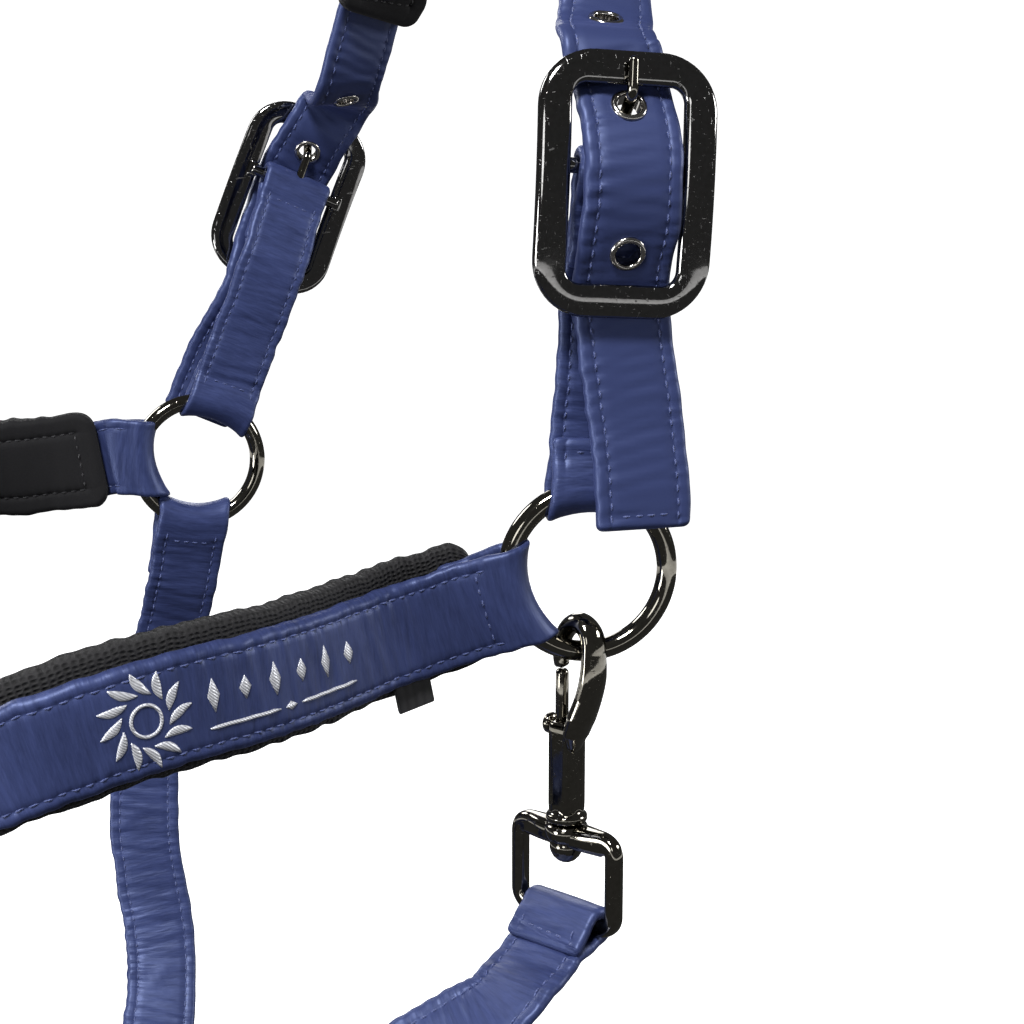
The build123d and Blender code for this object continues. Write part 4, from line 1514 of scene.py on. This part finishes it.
@dataclass
class BoltSnap:
    """The swivel bolt snap: hook with its barrel, sliding bolt, rivet, spring and eye.

    Its plane holds the hook, with X along the eye's width and Y up, from the middle of the ring's wire.
    """

    hook_angle: float = -95.0
    offset: float = 4.5
    bow: tuple[tuple[float, ...], ...] = (      # x, y, half width, depth for each width, and how far forward
        (3.4, -28.6, 0.5, 1.2, 1.6), (3.9, -26.5, 1.7, 1.4, 1.6), (4.7, -22.5, 2.9, 1.55, 1.8),
        (6.3, -18, 3.2, 1.58, 1.6), (8.1, -12.5, 3.0, 1.6, 0.9), (9.3, -6.8, 2.8, 1.7, 0.5),
        (9.35, 0, 2.45, 1.75, 0.3), (8.2, 5.2, 2.6, 1.5, 0.1), (4.6, 7.6, 2.8, 1.2, 0),
        (0.3, 5.6, 2.5, 1.1, 0), (-1.9, 1, 2.3, 1.05, 0), (-1.7, -5.7, 2.1, 1.0, 0))
    barrel_top: float = -20.5
    barrel_foot: float = -48.5
    bolt_x: float = -1.8
    bolt_radius: float = 1.8
    bolt_top: float = -6.0
    eye_top: float = -48.9
    eye_foot: float = -78.5
    eye_width: float = 38.0
    eye_wire: float = 4.5
    rivet: float = 2.2

    @property
    def width_way(self) -> np.ndarray:
        """Direction of the eye's width."""
        return unit(vec(0.39, -0.92, 0))

    @property
    def plane(self) -> Seat:
        """The snap's plane."""
        pivot = NEAR_THROAT.leaving(self.hook_angle, RING_RADIUS)
        x = self.width_way
        return Seat(pivot - x * self.offset, x, UP, np.cross(x, UP))

    def level(self, height: float, x: float = 0.0) -> Seat:
        """A plane square to the barrel's axis, with Z up."""
        plane = self.plane
        return Seat(plane.at(x, height), plane.x, -plane.z, UP)

    def hook_piece(self) -> bpy.types.Object:
        """Makes the bow and the barrel, with the slot that the thumb stud slides in."""
        plane = self.plane
        limb = np.array(self.bow)
        line, place = curve_through(limb[:, :2], 16)
        radius, depth, ahead = (np.interp(place, np.arange(len(limb)), limb[:, k]) for k in (2, 3, 4))
        tip = np.linalg.norm(line - line[-1], axis=1)
        radius = radius * np.sqrt(np.clip(1 - np.clip(1 - tip / 1.2, 0, 1) ** 2, 0.03, 1))
        shape = Shape().wire(plane.at(line[:, 0], line[:, 1], ahead), radius, plane.z, 32, flat=depth)
        low, high = self.barrel_foot, self.barrel_top
        shape.lathe(self.level(0), [
            (3.2, low), (4.9, low), (5.5, low + 0.25), (5.72, low + 0.8), (5.72, low + 1.7),
            (5.45, low + 2.2), (4.75, low + 2.55), (4.4, low + 3.0), (4.2, low + 3.6), (3.0, low + 3.8)], 56)
        heights = [low + 2.6, low + 3.4, low + 5.0, high - 2.4, high - 1.2, high - 0.4, high + 0.1]
        sizes = [3.95, 4.08, 4.15, 4.15, 4.05, 3.75, 3.1]
        turn = np.linspace(0, 2 * math.pi, 56, endpoint=False)
        squared = (np.abs(np.cos(turn)) ** 4.4 + np.abs(np.sin(turn)) ** 4.4) ** (-1 / 4.4)
        size = np.array(sizes)[:, None] * squared
        shape.add(self.level(0).at(size * np.cos(turn), size * np.sin(turn), np.array(heights)[:, None]))
        hook = shape.piece("snap_hook", POLISHED)
        self.slot_the_barrel(hook)
        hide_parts("snap_hook")
        return hook

    def slot_the_barrel(self, hook: bpy.types.Object) -> None:
        """Cuts the bolt's bore and the thumb stud's slot."""
        cutter_shape = Shape()
        cutter_shape.lathe(self.level(0, self.bolt_x), [(self.bolt_radius + 0.08, -46.0),
                                                        (self.bolt_radius + 0.08, self.barrel_top + 5.0)], 32)
        cutter_shape.block(self.level(-26.0, self.bolt_x - 4.0), (8.0, 3.0, 14.6), 1.2)
        cutter = cutter_shape.piece("barrel_cutter", POLISHED)
        join_shells(hook)
        cut = hook.modifiers.new("slot", "BOOLEAN")
        cut.operation, cut.solver, cut.object, cut.use_self = "DIFFERENCE", "EXACT", cutter, True
        settle_modifiers(hook)
        bpy.data.objects.remove(cutter)

    def bolt_piece(self) -> bpy.types.Object:
        """Makes the bolt and its thumb stud."""
        r, top = self.bolt_radius, self.bolt_top
        shape = Shape().lathe(self.level(0, self.bolt_x), [
            (0.8, -31.6), (r - 0.2, -31.6), (r, -31.3), (r, top - 1.2), (r - 0.15, top - 0.6),
            (r - 0.5, top - 0.15), (r - 1.0, top), (0.3, top)], 36)
        plane = self.plane
        stud = Seat(plane.at(self.bolt_x, -22.0), plane.z, plane.y, -plane.x)
        shape.lathe(stud, [(0.6, 0.0), (1.3, 0.2), (1.3, 2.6), (2.2, 2.8), (2.75, 3.2), (2.95, 3.8),
                           (2.85, 4.5), (2.4, 5.0), (1.5, 5.3), (0.4, 5.4)], 36)
        made = shape.piece("snap_bolt", POLISHED)
        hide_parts("snap_bolt")
        return made

    def rivet_piece(self) -> bpy.types.Object:
        """Makes the swivel rivet with its domed head."""
        under = self.eye_top - 5.2
        made = Shape().lathe(self.level(0), [
            (0.4, self.barrel_foot + 2.0), (self.rivet, self.barrel_foot + 1.8), (self.rivet, under),
            (4.3, under), (4.62, under - 0.3), (4.62, under - 2.0), (4.4, under - 3.0), (3.7, under - 4.4),
            (2.6, under - 5.5), (1.5, under - 6.1), (0.4, under - 6.4)], 40).piece(
            "snap_rivet", POLISHED)
        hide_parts("snap_rivet")
        return made

    def eye_piece(self) -> bpy.types.Object:
        """Makes the eye, a cast loop with sloping shoulders and a bored boss."""
        plane = self.plane
        wire = self.eye_wire / 2
        x, top, foot = self.eye_width / 2 - wire, self.eye_top - wire, self.eye_foot + wire
        line = rounded_path([(x, top), (x, foot), (-x, foot), (-x, top)], 4.2, closed=True)
        turn = np.linspace(0, 2 * math.pi, 28, endpoint=False)
        power = 2 / 2.9
        inward, over = wire * pushed(np.cos(turn), power), wire * pushed(np.sin(turn), power)
        along = unit(np.roll(line, -1, axis=0) - np.roll(line, 1, axis=0))
        side = np.stack([along[:, 1], -along[:, 0]], 1)
        head = smooth_step((line[:, 1] - top + 3.0) / 3.0)
        line = line - np.stack([0 * head, 1.1 * head], 1)
        flat = line[:, None] + side[:, None] * (inward[None] * (1 + 0.5 * head[:, None]))[..., None]
        broad = 1 + 0.75 * head * np.exp(-(line[:, 0] / 11.0) ** 4)
        grid = plane.at(flat[..., 0], flat[..., 1], over[None] * broad[:, None])
        shape = Shape().add(grid, closed=True)
        bore = self.rivet + 0.1
        shape.lathe(self.level(0), [
            (bore, self.eye_top - 5.0), (bore, self.eye_top - 0.05), (4.6, self.eye_top - 0.05),
            (5.5, self.eye_top - 0.4), (5.95, self.eye_top - 1.2), (6.0, self.eye_top - 2.6),
            (5.8, self.eye_top - 4.2), (5.2, self.eye_top - 4.95)], 48, closed=True)
        made = shape.piece("snap_eye", POLISHED)
        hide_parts("snap_eye")
        return made

    def make(self) -> None:
        """Makes the snap."""
        seat_on(Body.EYE, self.eye_piece())
        seat_on(Body.HOOK, self.hook_piece(), self.rivet_piece())
        seat_on(Body.BOLT, self.bolt_piece())
        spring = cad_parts["snap_spring"]
        for slot in spring.material_slots:
            slot.material = SPRING_WIRE.material()


def settle_modifiers(piece: bpy.types.Object) -> None:
    """Writes a piece's modifiers into its mesh."""
    bpy.context.view_layer.update()
    finish = piece.data.materials[0]
    evaluated = piece.evaluated_get(bpy.context.evaluated_depsgraph_get())
    made = bpy.data.meshes.new_from_object(evaluated)
    piece.modifiers.clear()
    piece.data = made
    made.materials.clear()
    made.materials.append(finish)


def join_shells(piece: bpy.types.Object, voxel: float = 0.16) -> None:
    """Melts a piece's overlapping shells into one smooth skin.

    Args:
        piece: the object.
        voxel: size of the cells that it is rebuilt from, in millimetres.
    """
    melt = piece.modifiers.new("melt", "REMESH")
    melt.mode, melt.voxel_size, melt.use_smooth_shade = "VOXEL", voxel * MM, True
    soften = piece.modifiers.new("soften", "SMOOTH")
    soften.factor, soften.iterations = 0.5, 4
    settle_modifiers(piece)


# ---------------------------------------------------------------- throat strap and jowl strap
def throat_route() -> list[Station]:
    """The throat strap's stations, from the snap's eye round the jaw to the far throat ring."""
    snap = BoltSnap()
    bar = snap.plane.at(0, snap.eye_foot + snap.eye_wire / 2)
    width = snap.width_way
    away = throat_leaves()
    return [
        (bar + away * 5, width), (bar + away * 18, width), (bar + away * 31, width),
        (vec(-54, -94, -327), vec(0.55, -0.83, 0)), (vec(-74, -78, -348), vec(0.8, -0.5, 0)),
        (vec(-88, -48, -378), vec(0.97, -0.2, 0)), (vec(-95, -16, -400), FORE_AND_AFT),
        (vec(-96, 14, -415), FORE_AND_AFT), (vec(-95, 48, -421), FORE_AND_AFT),
        (vec(-91, 84, -412), FORE_AND_AFT), (vec(-81, 112, -384), vec(0.97, -0.15, 0)),
        (vec(-82, 128, -340), vec(0.94, -0.3, 0)), (vec(-76, 132, -292), vec(0.95, -0.25, 0)),
        (vec(-67.5, 121, -246), vec(0.99, -0.1, 0)), (FAR_THROAT.leaving(261), FAR_THROAT.away(351)),
    ]


def throat_leaves() -> np.ndarray:
    """Direction in which the throat strap leaves the snap's eye."""
    return unit(vec(-0.92, -0.39, 0) * math.cos(math.radians(30)) - UP * math.sin(math.radians(30)))


@dataclass
class Throat:
    """The throat strap, and the jowl strap that is sewn to it from the chin ring."""

    def make(self) -> None:
        """Makes both straps."""
        snap = BoltSnap()
        route = throat_route()
        track = Track.through(route)
        bar = snap.plane.at(0, snap.eye_foot + snap.eye_wire / 2)
        strap = FoldedStrap("throat_strap", track, Fold(bar, throat_leaves(), 2.5, 2.35, False),
                            Fold.round_ring(FAR_THROAT, 261, 12.0), STRAP_WIDTH, 3.1, 31, side=-1,
                            creases=120, crease_depth=0.55, row=3.9)
        start, end = track.look(track.points, 22.0), track.look(track.points, 95.0)
        for piece in strap.make(["throat_strap", "throat_strap_end"]):
            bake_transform(piece)
            LOG.info("%s bends between %s and %s", piece.name, Body.EYE.value, Body.HALTER.value)
        self.jowl(track, route[7])

    def jowl(self, throat: Track, crossing: Station) -> None:
        """Makes the jowl strap, looped round the throat strap.

        Args:
            throat: the throat strap's track.
            crossing: the station that it is looped round.
        """
        seat = throat.seat(throat.nearest(crossing[0]))
        ahead = seat.at(-STRAP_WIDTH / 2 - 10, 0)
        middle = Track.through([
            (CHIN.leaving(0), -SIDEWAYS), (CHIN.leaving(0, 48), -SIDEWAYS), (vec(-140, 10, -384), -SIDEWAYS),
            (ahead, seat.y),
        ])
        layer = 2.8
        lift = layer / 2 + 0.05
        over = 1.7 + 0.55 + layer / 2
        edge = STRAP_WIDTH / 2
        ring_end = Fold.round_ring(CHIN, 0, 14.0)
        face = ring_end.face(middle.across[0], middle.outward[0])
        down = 1 if np.dot(seat.z, middle.outward[-1]) > 0 else -1
        around = [(-edge - 4.5, 1.8), (-edge + 1.5, over - 0.1), (-edge / 2, over), (0, over),
                  (edge / 2, over), (edge - 0.6, over - 0.2), (edge + 1.5, over * 0.62), (edge + 2.1, 0.0),
                  (edge + 1.5, -over * 0.62), (edge - 0.6, -over + 0.2), (edge / 2, -over), (0, -over),
                  (-edge / 2, -over), (-edge + 1.5, -over + 0.1), (-edge - 4.5, -1.8)]
        stations = middle.stations(NECK + ring_end.flap, NECK, -lift) + ring_end.loop(
            face, middle.across[0], layer)[::-1]
        stations += middle.stations(NECK, middle.length - 1, lift)
        stations += [(seat.at(x, 0, down * z), middle.across[-1]) for x, z in around]
        stations += middle.stations(middle.length - 1, middle.length - 15, -lift)
        track = Track.through(stations, 3.0)
        fold, last = track.nearest(ring_end.tip(layer)), track.nearest(stations[-18][0])
        band = Band("jowl_strap", track, 23.0, layer, 37, creases=30, quiet=((fold - 13, fold + 13),),
                    cross_rows=(3.6, fold + 14.5, last - 4, track.length - 3.6),
                    cups=((fold, ring_end.toward * 0.9),))
        strap, thread = band.build([NAVY_SATIN]), band.stitching(NAVY_THREAD)
        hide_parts("jowl_strap")
        seat_on(Body.HALTER, strap, thread)


# ---------------------------------------------------------------- hangers, cheeks, noseband and chin
@dataclass
class Hanger:
    """The doubled strap between a throat ring and a crown buckle."""

    side: str
    ring: Seat
    degrees: float
    plane: Seat
    seed: int

    def make(self) -> None:
        """Makes the hanger."""
        plane = self.plane
        foot = self.ring.leaving(self.degrees) - plane.origin
        drift, settle = float(np.dot(foot, plane.x)), float(np.dot(foot, plane.z))
        route = [(self.ring.leaving(self.degrees), plane.x)]
        for x, y, z in ((0.8 * drift, -58, 0.6 * settle - 4.2), (0.6 * drift, -46, 0.2 * settle - 8.6),
                        (0.4 * drift, -35, -10.9), (0, -25, -9.6), (0, -12, -6.2), (0, -3, -3.4)):
            route.append((plane.at(x, y, z), plane.x))
        bar = plane.at(0, 4.5, -0.6)
        down = unit(plane.at(0, -12, -6.2) - bar)
        FoldedStrap(f"{self.side}_buckle_strap", Track.through(route),
                    Fold.round_ring(self.ring, self.degrees, 2.5), Fold(bar, down, 14.0, 2.0, False),
                    STRAP_WIDTH - 1, 2.9, self.seed, side=-self.facing, creases=22).ride(
            [f"{self.side}_buckle_strap"])

    @property
    def facing(self) -> int:
        """1 if the track's outer side faces away from the head, which depends on the buckle's X."""
        foot = self.ring.leaving(self.degrees)
        along = self.plane.origin - foot
        return 1 if np.dot(np.cross(along, self.plane.x), self.plane.z) > 0 else -1


@dataclass(frozen=True)
class Stroke:
    """A line of embroidery: its points on the strap's face, and its width at each."""

    points: tuple[tuple[float, float], ...]
    widths: tuple[float, ...]
    closed: bool = False


@dataclass
class Emblem:
    """A raised ornament of silver thread: a sprig wreath, a row of lozenges and two bars."""

    band: Band
    first: float
    last: float
    scale: float = 1.14
    rise: float = 0.42

    def leaf(self, x: float, y: float, turn: float, length: float, width: float) -> Stroke:
        """A leaf from a point, in a direction given in degrees."""
        dx, dy = math.cos(math.radians(turn)), math.sin(math.radians(turn))
        share = np.linspace(0, 1, 9)
        bend = 0.10 * length * np.sin(math.pi * share)
        points = tuple((x + length * t * dx - b * dy, y + length * t * dy + b * dx)
                       for t, b in zip(share, bend))
        return Stroke(points, tuple(width * max(0.08, math.sin(math.pi * t) ** 0.8) for t in share))

    def strokes(self) -> list[Stroke]:
        """The ornament's strokes, in millimetres along and across the strap from its start."""
        made = []
        for number in range(12):
            turn = math.radians(30 * number + 8)
            made.append(self.leaf(8.6 + 4.9 * math.cos(turn), 5.6 * math.sin(turn), 30 * number + 62,
                                  6.0, 1.9))
        ring = [(8.6 + 3.1 * math.cos(a), 3.3 * math.sin(a)) for a in np.linspace(0, 2 * math.pi, 40)[:-1]]
        made.append(Stroke(tuple(ring), (0.75,) * len(ring), True))
        span = (self.last - self.first) / self.scale
        lozenges = np.linspace(23, span - 5.5, 6)
        for number, x in enumerate(lozenges):
            tall = 3.6 if number % 2 == 0 else 2.5
            made.append(Stroke(((x, 1.4 - tall), (x, 1.4 - tall / 2), (x, 1.4), (x, 1.4 + tall / 2),
                                (x, 1.4 + tall)), (0.1, 1.5, 2.9, 1.5, 0.1)))
        middle = (23 + span - 5.5) / 2
        for low, high in ((21.5, middle - 3.0), (middle + 3.0, span - 4.0)):
            line = tuple((x, -5.4) for x in np.linspace(low, high, 12))
            made.append(Stroke(line, (0.3,) + (0.85,) * 10 + (0.3,)))
        made.append(Stroke(((middle - 1.5, -5.4), (middle - 0.75, -5.4), (middle, -5.4),
                            (middle + 0.75, -5.4), (middle + 1.5, -5.4)), (0.1, 1.1, 2.0, 1.1, 0.1)))
        return made

    def make(self, flip: int) -> None:
        """Makes the ornament.

        Args:
            flip: 1 or -1 for the sign of across that is up on the worn strap.
        """
        points, faces, cloth, first = [], [], [], 0
        for stroke in self.strokes():
            line = self.scale * np.array(stroke.points)
            round_it = np.roll(line, -1, 0) - np.roll(line, 1, 0)
            along = unit(round_it if stroke.closed else np.gradient(line, axis=0))
            side = np.stack([-along[:, 1], along[:, 0]], 1)
            turn = np.linspace(0, 2 * math.pi, 12, endpoint=False)
            half = self.scale * np.array(stroke.widths)[:, None] / 2
            flat = line[:, None] + side[:, None] * (half * np.cos(turn))[..., None]
            lift = self.rise * np.sin(turn)[None] * np.minimum(1, half * 2.2 + 0.25)
            s = self.last - flat[..., 0]
            x = flip * flat[..., 1]
            grid = self.band.lifted(s, x, 1, lift)
            points.append(grid.reshape(-1, 3))
            cloth.append(np.stack([flat[..., 0], flat[..., 1], lift], -1).reshape(-1, 3))
            faces += tube_faces(grid.shape[0], grid.shape[1], stroke.closed, first)
            first += grid.shape[0] * grid.shape[1]
        made = make_piece("cheek_ornament", np.concatenate(points), faces, [SILVER_THREAD],
                          np.concatenate(cloth), turn_out=True)
        seat_on(Body.HALTER, made)


@dataclass
class Cheeks:
    """Both padded cheek straps, with the ornament and the size tab on the near one."""

    layer: float = 2.8
    swell: float = 1.6

    def near(self) -> None:
        """Makes the near cheek strap."""
        down = vec(0.22, 0, -0.975)
        track = Track.through([
            (NEAR_THROAT.leaving(196), down), (NEAR_THROAT.leaving(196, 48), down),
            (vec(-95, -101, -217.5), vec(0.19, 0, -0.98)), (vec(-137, -111, -221), vec(0.18, 0, -0.98)),
            (vec(-166, -107, -229), vec(0.18, 0, -0.98)), (NEAR_NOSE.leaving(10), vec(0.17, 0, -0.98)),
        ])
        strap = self.strap("near", track, Fold.round_ring(NEAR_THROAT, 196, 6.0),
                           Fold.round_ring(NEAR_NOSE, 10, 6.0), 41)
        self.pad("near_cheek_pad", track, 43, -0.6, -0.5)
        band = strap.bands[0]
        at = band.track.length
        Emblem(band, 0.33 * at, 0.33 * at + 74).make(-1)
        self.tab(track)

    def far(self) -> None:
        """Makes the far cheek strap."""
        track = Track.through([
            (FAR_THROAT.leaving(174), vec(0, 0, 1)), (vec(-112, 129, -195), vec(0, -0.1, 1)),
            (vec(-150, 139, -197), vec(0, -0.25, 1)), (vec(-190, 126, -208), vec(0.05, -0.1, 1)),
            (FAR_NOSE.leaving(10), vec(-0.17, 0, 0.98)),
        ])
        self.strap("far", track, Fold.round_ring(FAR_THROAT, 174, 6.0),
                   Fold.round_ring(FAR_NOSE, 10, 6.0), 45)
        self.pad("far_cheek_pad", track, 47, 1.0, 4.0)

    def strap(self, side: str, track: Track, start: Fold, end: Fold, seed: int) -> FoldedStrap:
        """Makes one cheek strap.

        Args:
            side: near or far.
            track: its middle.
            start: the fold at the throat ring.
            end: the fold at the nose ring.
            seed: picks its creases.

        Returns:
            The strap.
        """
        strap = FoldedStrap(f"{side}_cheek_strap", track, start, end, CHEEK_WIDTH, self.layer, seed,
                            rest_lift=CHEEK_THICK / 2 - self.layer * self.swell / 2, swell=self.swell,
                            creases=40, crease_depth=0.3)
        strap.ride([f"{side}_cheek_strap"])
        return strap

    def pad(self, name: str, track: Track, seed: int, shift: float, inset: float) -> None:
        """Makes one cheek pad."""
        Pad(name, track, inset, track.length - inset, CHEEK_PAD_TOP, CHEEK_PAD_FOOT, seed, shift,
            thin=0.66).make(name)

    def tab(self, track: Track) -> None:
        """Makes the small folded tab under the near strap's lower edge."""
        at = 0.15 * track.length
        seat = Seat(track.place(np.array(at), np.array(CHEEK_WIDTH / 2 + 3.6), np.array(-1.0)),
                    track.look(track.across, at), -unit(np.gradient(track.points, axis=0))[
                        int(0.15 * len(track.points))], track.look(track.outward, at))
        shape = Shape()
        for layer in (-0.42, 0.42):
            leaf = Seat(seat.at(0, 0, layer), seat.x, seat.y, seat.z)
            shape.block(leaf, (7.2, 10.5, 0.75), 0.3, 4)
        fold = seat.at(3.4, np.linspace(-5.1, 5.1, 14), 0)
        shape.wire(fold, 0.8, seat.z, 14)
        made = shape.piece("size_tab", BLACK_TAPE, Slot.TAB)
        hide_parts("size_tab")
        seat_on(Body.HALTER, made)


@dataclass
class Noseband:
    """The padded noseband over the horse's nose."""

    leaves: float = 130.0

    def make(self) -> None:
        """Makes the noseband and its pad."""
        track = Track.through([
            (NEAR_NOSE.leaving(self.leaves), vec(-0.77, 0, -0.64)),
            (vec(-240, -84, -190), vec(-0.74, -0.1, -0.66)),
            (vec(-258, -52, -172), vec(-0.6, -0.1, -0.78)), (vec(-268, 0, -164), vec(-0.5, 0, -0.87)),
            (vec(-270, 52, -170), vec(-0.6, 0.1, -0.78)), (vec(-268, 84, -185), vec(-0.74, 0.1, -0.66)),
            (FAR_NOSE.leaving(self.leaves), vec(-0.77, 0, -0.64)),
        ])
        FoldedStrap("noseband_strap", track, Fold.round_ring(NEAR_NOSE, self.leaves, 6.0),
                    Fold.round_ring(FAR_NOSE, self.leaves, 6.0), CHEEK_WIDTH, 2.8, 51,
                    rest_lift=CHEEK_THICK / 2 - 2.8 * 0.8, swell=1.6, creases=45, crease_depth=0.3).ride(
            ["noseband_strap"])
        Pad("noseband_pad", track, 12.0, track.length - 12.0, CHEEK_PAD_TOP, CHEEK_PAD_FOOT, 53,
            thin=0.66).make("noseband_pad")


@dataclass
class ChinStraps:
    """The two straps from the nose rings to the chin ring."""

    leaves: float = 250.0

    def make(self) -> None:
        """Makes both straps."""
        near_width = CHIN.x * 0.866 - CHIN.y * 0.5
        far_width = CHIN.x * 0.866 + CHIN.y * 0.5
        near = Track.through([
            (NEAR_NOSE.leaving(self.leaves), vec(0.94, 0, -0.34)), (vec(-216, -88, -292), vec(0.97, 0, -0.2)),
            (vec(-219, -66, -322), vec(0.97, 0.2, -0.2)), (CHIN.leaving(240, 42), near_width),
            (CHIN.leaving(240), near_width),
        ])
        far = Track.through([
            (CHIN.leaving(120), far_width), (CHIN.leaving(120, 42), far_width),
            (vec(-226, 66, -321), vec(0.97, -0.2, -0.1)), (vec(-244, 88, -288), vec(0.97, 0, -0.2)),
            (FAR_NOSE.leaving(self.leaves), vec(0.94, 0, -0.34)),
        ])
        FoldedStrap("near_chin_strap", near, Fold.round_ring(NEAR_NOSE, self.leaves, 24.0),
                    Fold.round_ring(CHIN, 240, 24.0), STRAP_WIDTH, 2.9, 61, creases=24).ride(
            ["near_chin_strap"])
        FoldedStrap("far_chin_strap", far, Fold.round_ring(CHIN, 120, 24.0),
                    Fold.round_ring(FAR_NOSE, self.leaves, 24.0), STRAP_WIDTH, 2.9, 63, creases=24).ride(
            ["far_chin_strap"])


# ---------------------------------------------------------------- studio
@dataclass
class Studio:
    """A pale dish of paper, soft lights and the camera."""

    floor: float = -0.62
    lens: float = 59.06
    eye: tuple[float, float, float] = (-0.21228, -0.48123, -0.10736)
    azimuth: float = 25.0
    elevation: float = 10.0

    def make(self) -> None:
        """Makes the studio."""
        self.dish()
        self.camera()
        self.light("key", (-0.85, -0.95, 1.35), 0.5, 50)
        self.light("front", (-1.3, -1.35, 0.25), 0.5, 3)
        self.light("side", (1.55, -0.6, 0.35), 0.5, 12)
        self.light("left", (-1.45, -0.25, -0.25), 0.5, 11)
        self.light("rim", (0.6, 1.6, 0.6), 0.8, 8)
        self.light("back", (-0.9, 1.5, 0.9), 0.7, 14)
        world = bpy.data.worlds.new("studio_air")
        world.use_nodes = True
        world.node_tree.nodes["Background"].inputs["Color"].default_value = (1, 1, 1, 1)
        world.node_tree.nodes["Background"].inputs["Strength"].default_value = 0.075
        bpy.context.scene.world = world
        bpy.context.scene.view_settings.view_transform = "Standard"

    def dish(self) -> None:
        """Makes the floor, which curves up far away."""
        out = np.concatenate([np.linspace(0.02, 3.0, 30), 3.0 + np.sin(np.linspace(0.05, math.pi / 2, 20))])
        rise = np.concatenate([np.zeros(30), 3.2 - 3.2 * np.cos(np.linspace(0.05, math.pi / 2, 20))])
        seat = Seat(vec(0, 0, self.floor * 1000), FORE_AND_AFT, SIDEWAYS, UP)
        turn = np.linspace(0, 2 * math.pi, 96, endpoint=False)
        grid = seat.at(1000 * out[:, None] * np.cos(turn), 1000 * out[:, None] * np.sin(turn),
                       1000 * rise[:, None] + 0 * turn)
        for name, part, shines in (("paper_floor", grid[:17], False), ("paper_apron", grid[16:30], True),
                                   ("paper_wall", grid[29:], False)):
            faces = tube_faces(*part.shape[:2])
            keep = faces[:-1] if name == "paper_floor" else faces[:-2]
            made = make_piece(name, part.reshape(-1, 3), keep, [PALE_PAPER])
            made.visible_diffuse, made.visible_glossy = False, shines

    def camera(self) -> None:
        """Makes the camera."""
        turn, rise = math.radians(self.azimuth), math.radians(self.elevation)
        ahead = vec(math.sin(turn) * math.cos(rise), math.cos(turn) * math.cos(rise), -math.sin(rise))
        data = bpy.data.cameras.new("camera")
        data.lens, data.sensor_width, data.clip_start, data.clip_end = self.lens, 36.0, 0.01, 50.0
        camera = bpy.data.objects.new("camera", data)
        camera.location = self.eye
        camera.rotation_mode = "QUATERNION"
        camera.rotation_quaternion = Vector(ahead).to_track_quat("-Z", "Y")
        bpy.context.scene.collection.objects.link(camera)
        bpy.context.scene.camera = camera

    def light(self, name: str, place: tuple[float, float, float], size: float, power: float) -> None:
        """Makes a soft light aimed at the head collar.

        Args:
            name: the light's name.
            place: where it stands, in metres.
            size: its side.
            power: in watts.
        """
        data = bpy.data.lights.new(name, "AREA")
        data.shape, data.size, data.energy = "DISK", size, power
        lamp = bpy.data.objects.new(name, data)
        lamp.location = place
        aim = Vector((-0.1, 0.0, -0.2)) - Vector(place)
        lamp.rotation_mode = "QUATERNION"
        lamp.rotation_quaternion = aim.to_track_quat("-Z", "Y")
        bpy.context.scene.collection.objects.link(lamp)


def main() -> None:
    """Builds the head collar and its studio."""
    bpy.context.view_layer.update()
    for name, seat in (("near_throat_ring", NEAR_THROAT), ("far_throat_ring", FAR_THROAT),
                       ("near_nose_ring", NEAR_NOSE), ("far_nose_ring", FAR_NOSE), ("chin_ring", CHIN)):
        Ring(name, seat).make()
    Buckle("near", NEAR_BUCKLE, Body.NEAR_TONGUE).make()
    Buckle("far", FAR_BUCKLE, Body.FAR_TONGUE).make()
    Crown().make()
    Hanger("near", NEAR_THROAT, 86.5, NEAR_BUCKLE, 71).make()
    Hanger("far", FAR_THROAT, 67.5, FAR_BUCKLE, 73).make()
    cheeks = Cheeks()
    cheeks.near()
    cheeks.far()
    Noseband().make()
    ChinStraps().make()
    BoltSnap().make()
    Throat().make()
    Studio().make()


if __name__ == "__main__":
    logging.basicConfig(level=logging.INFO)
    main()
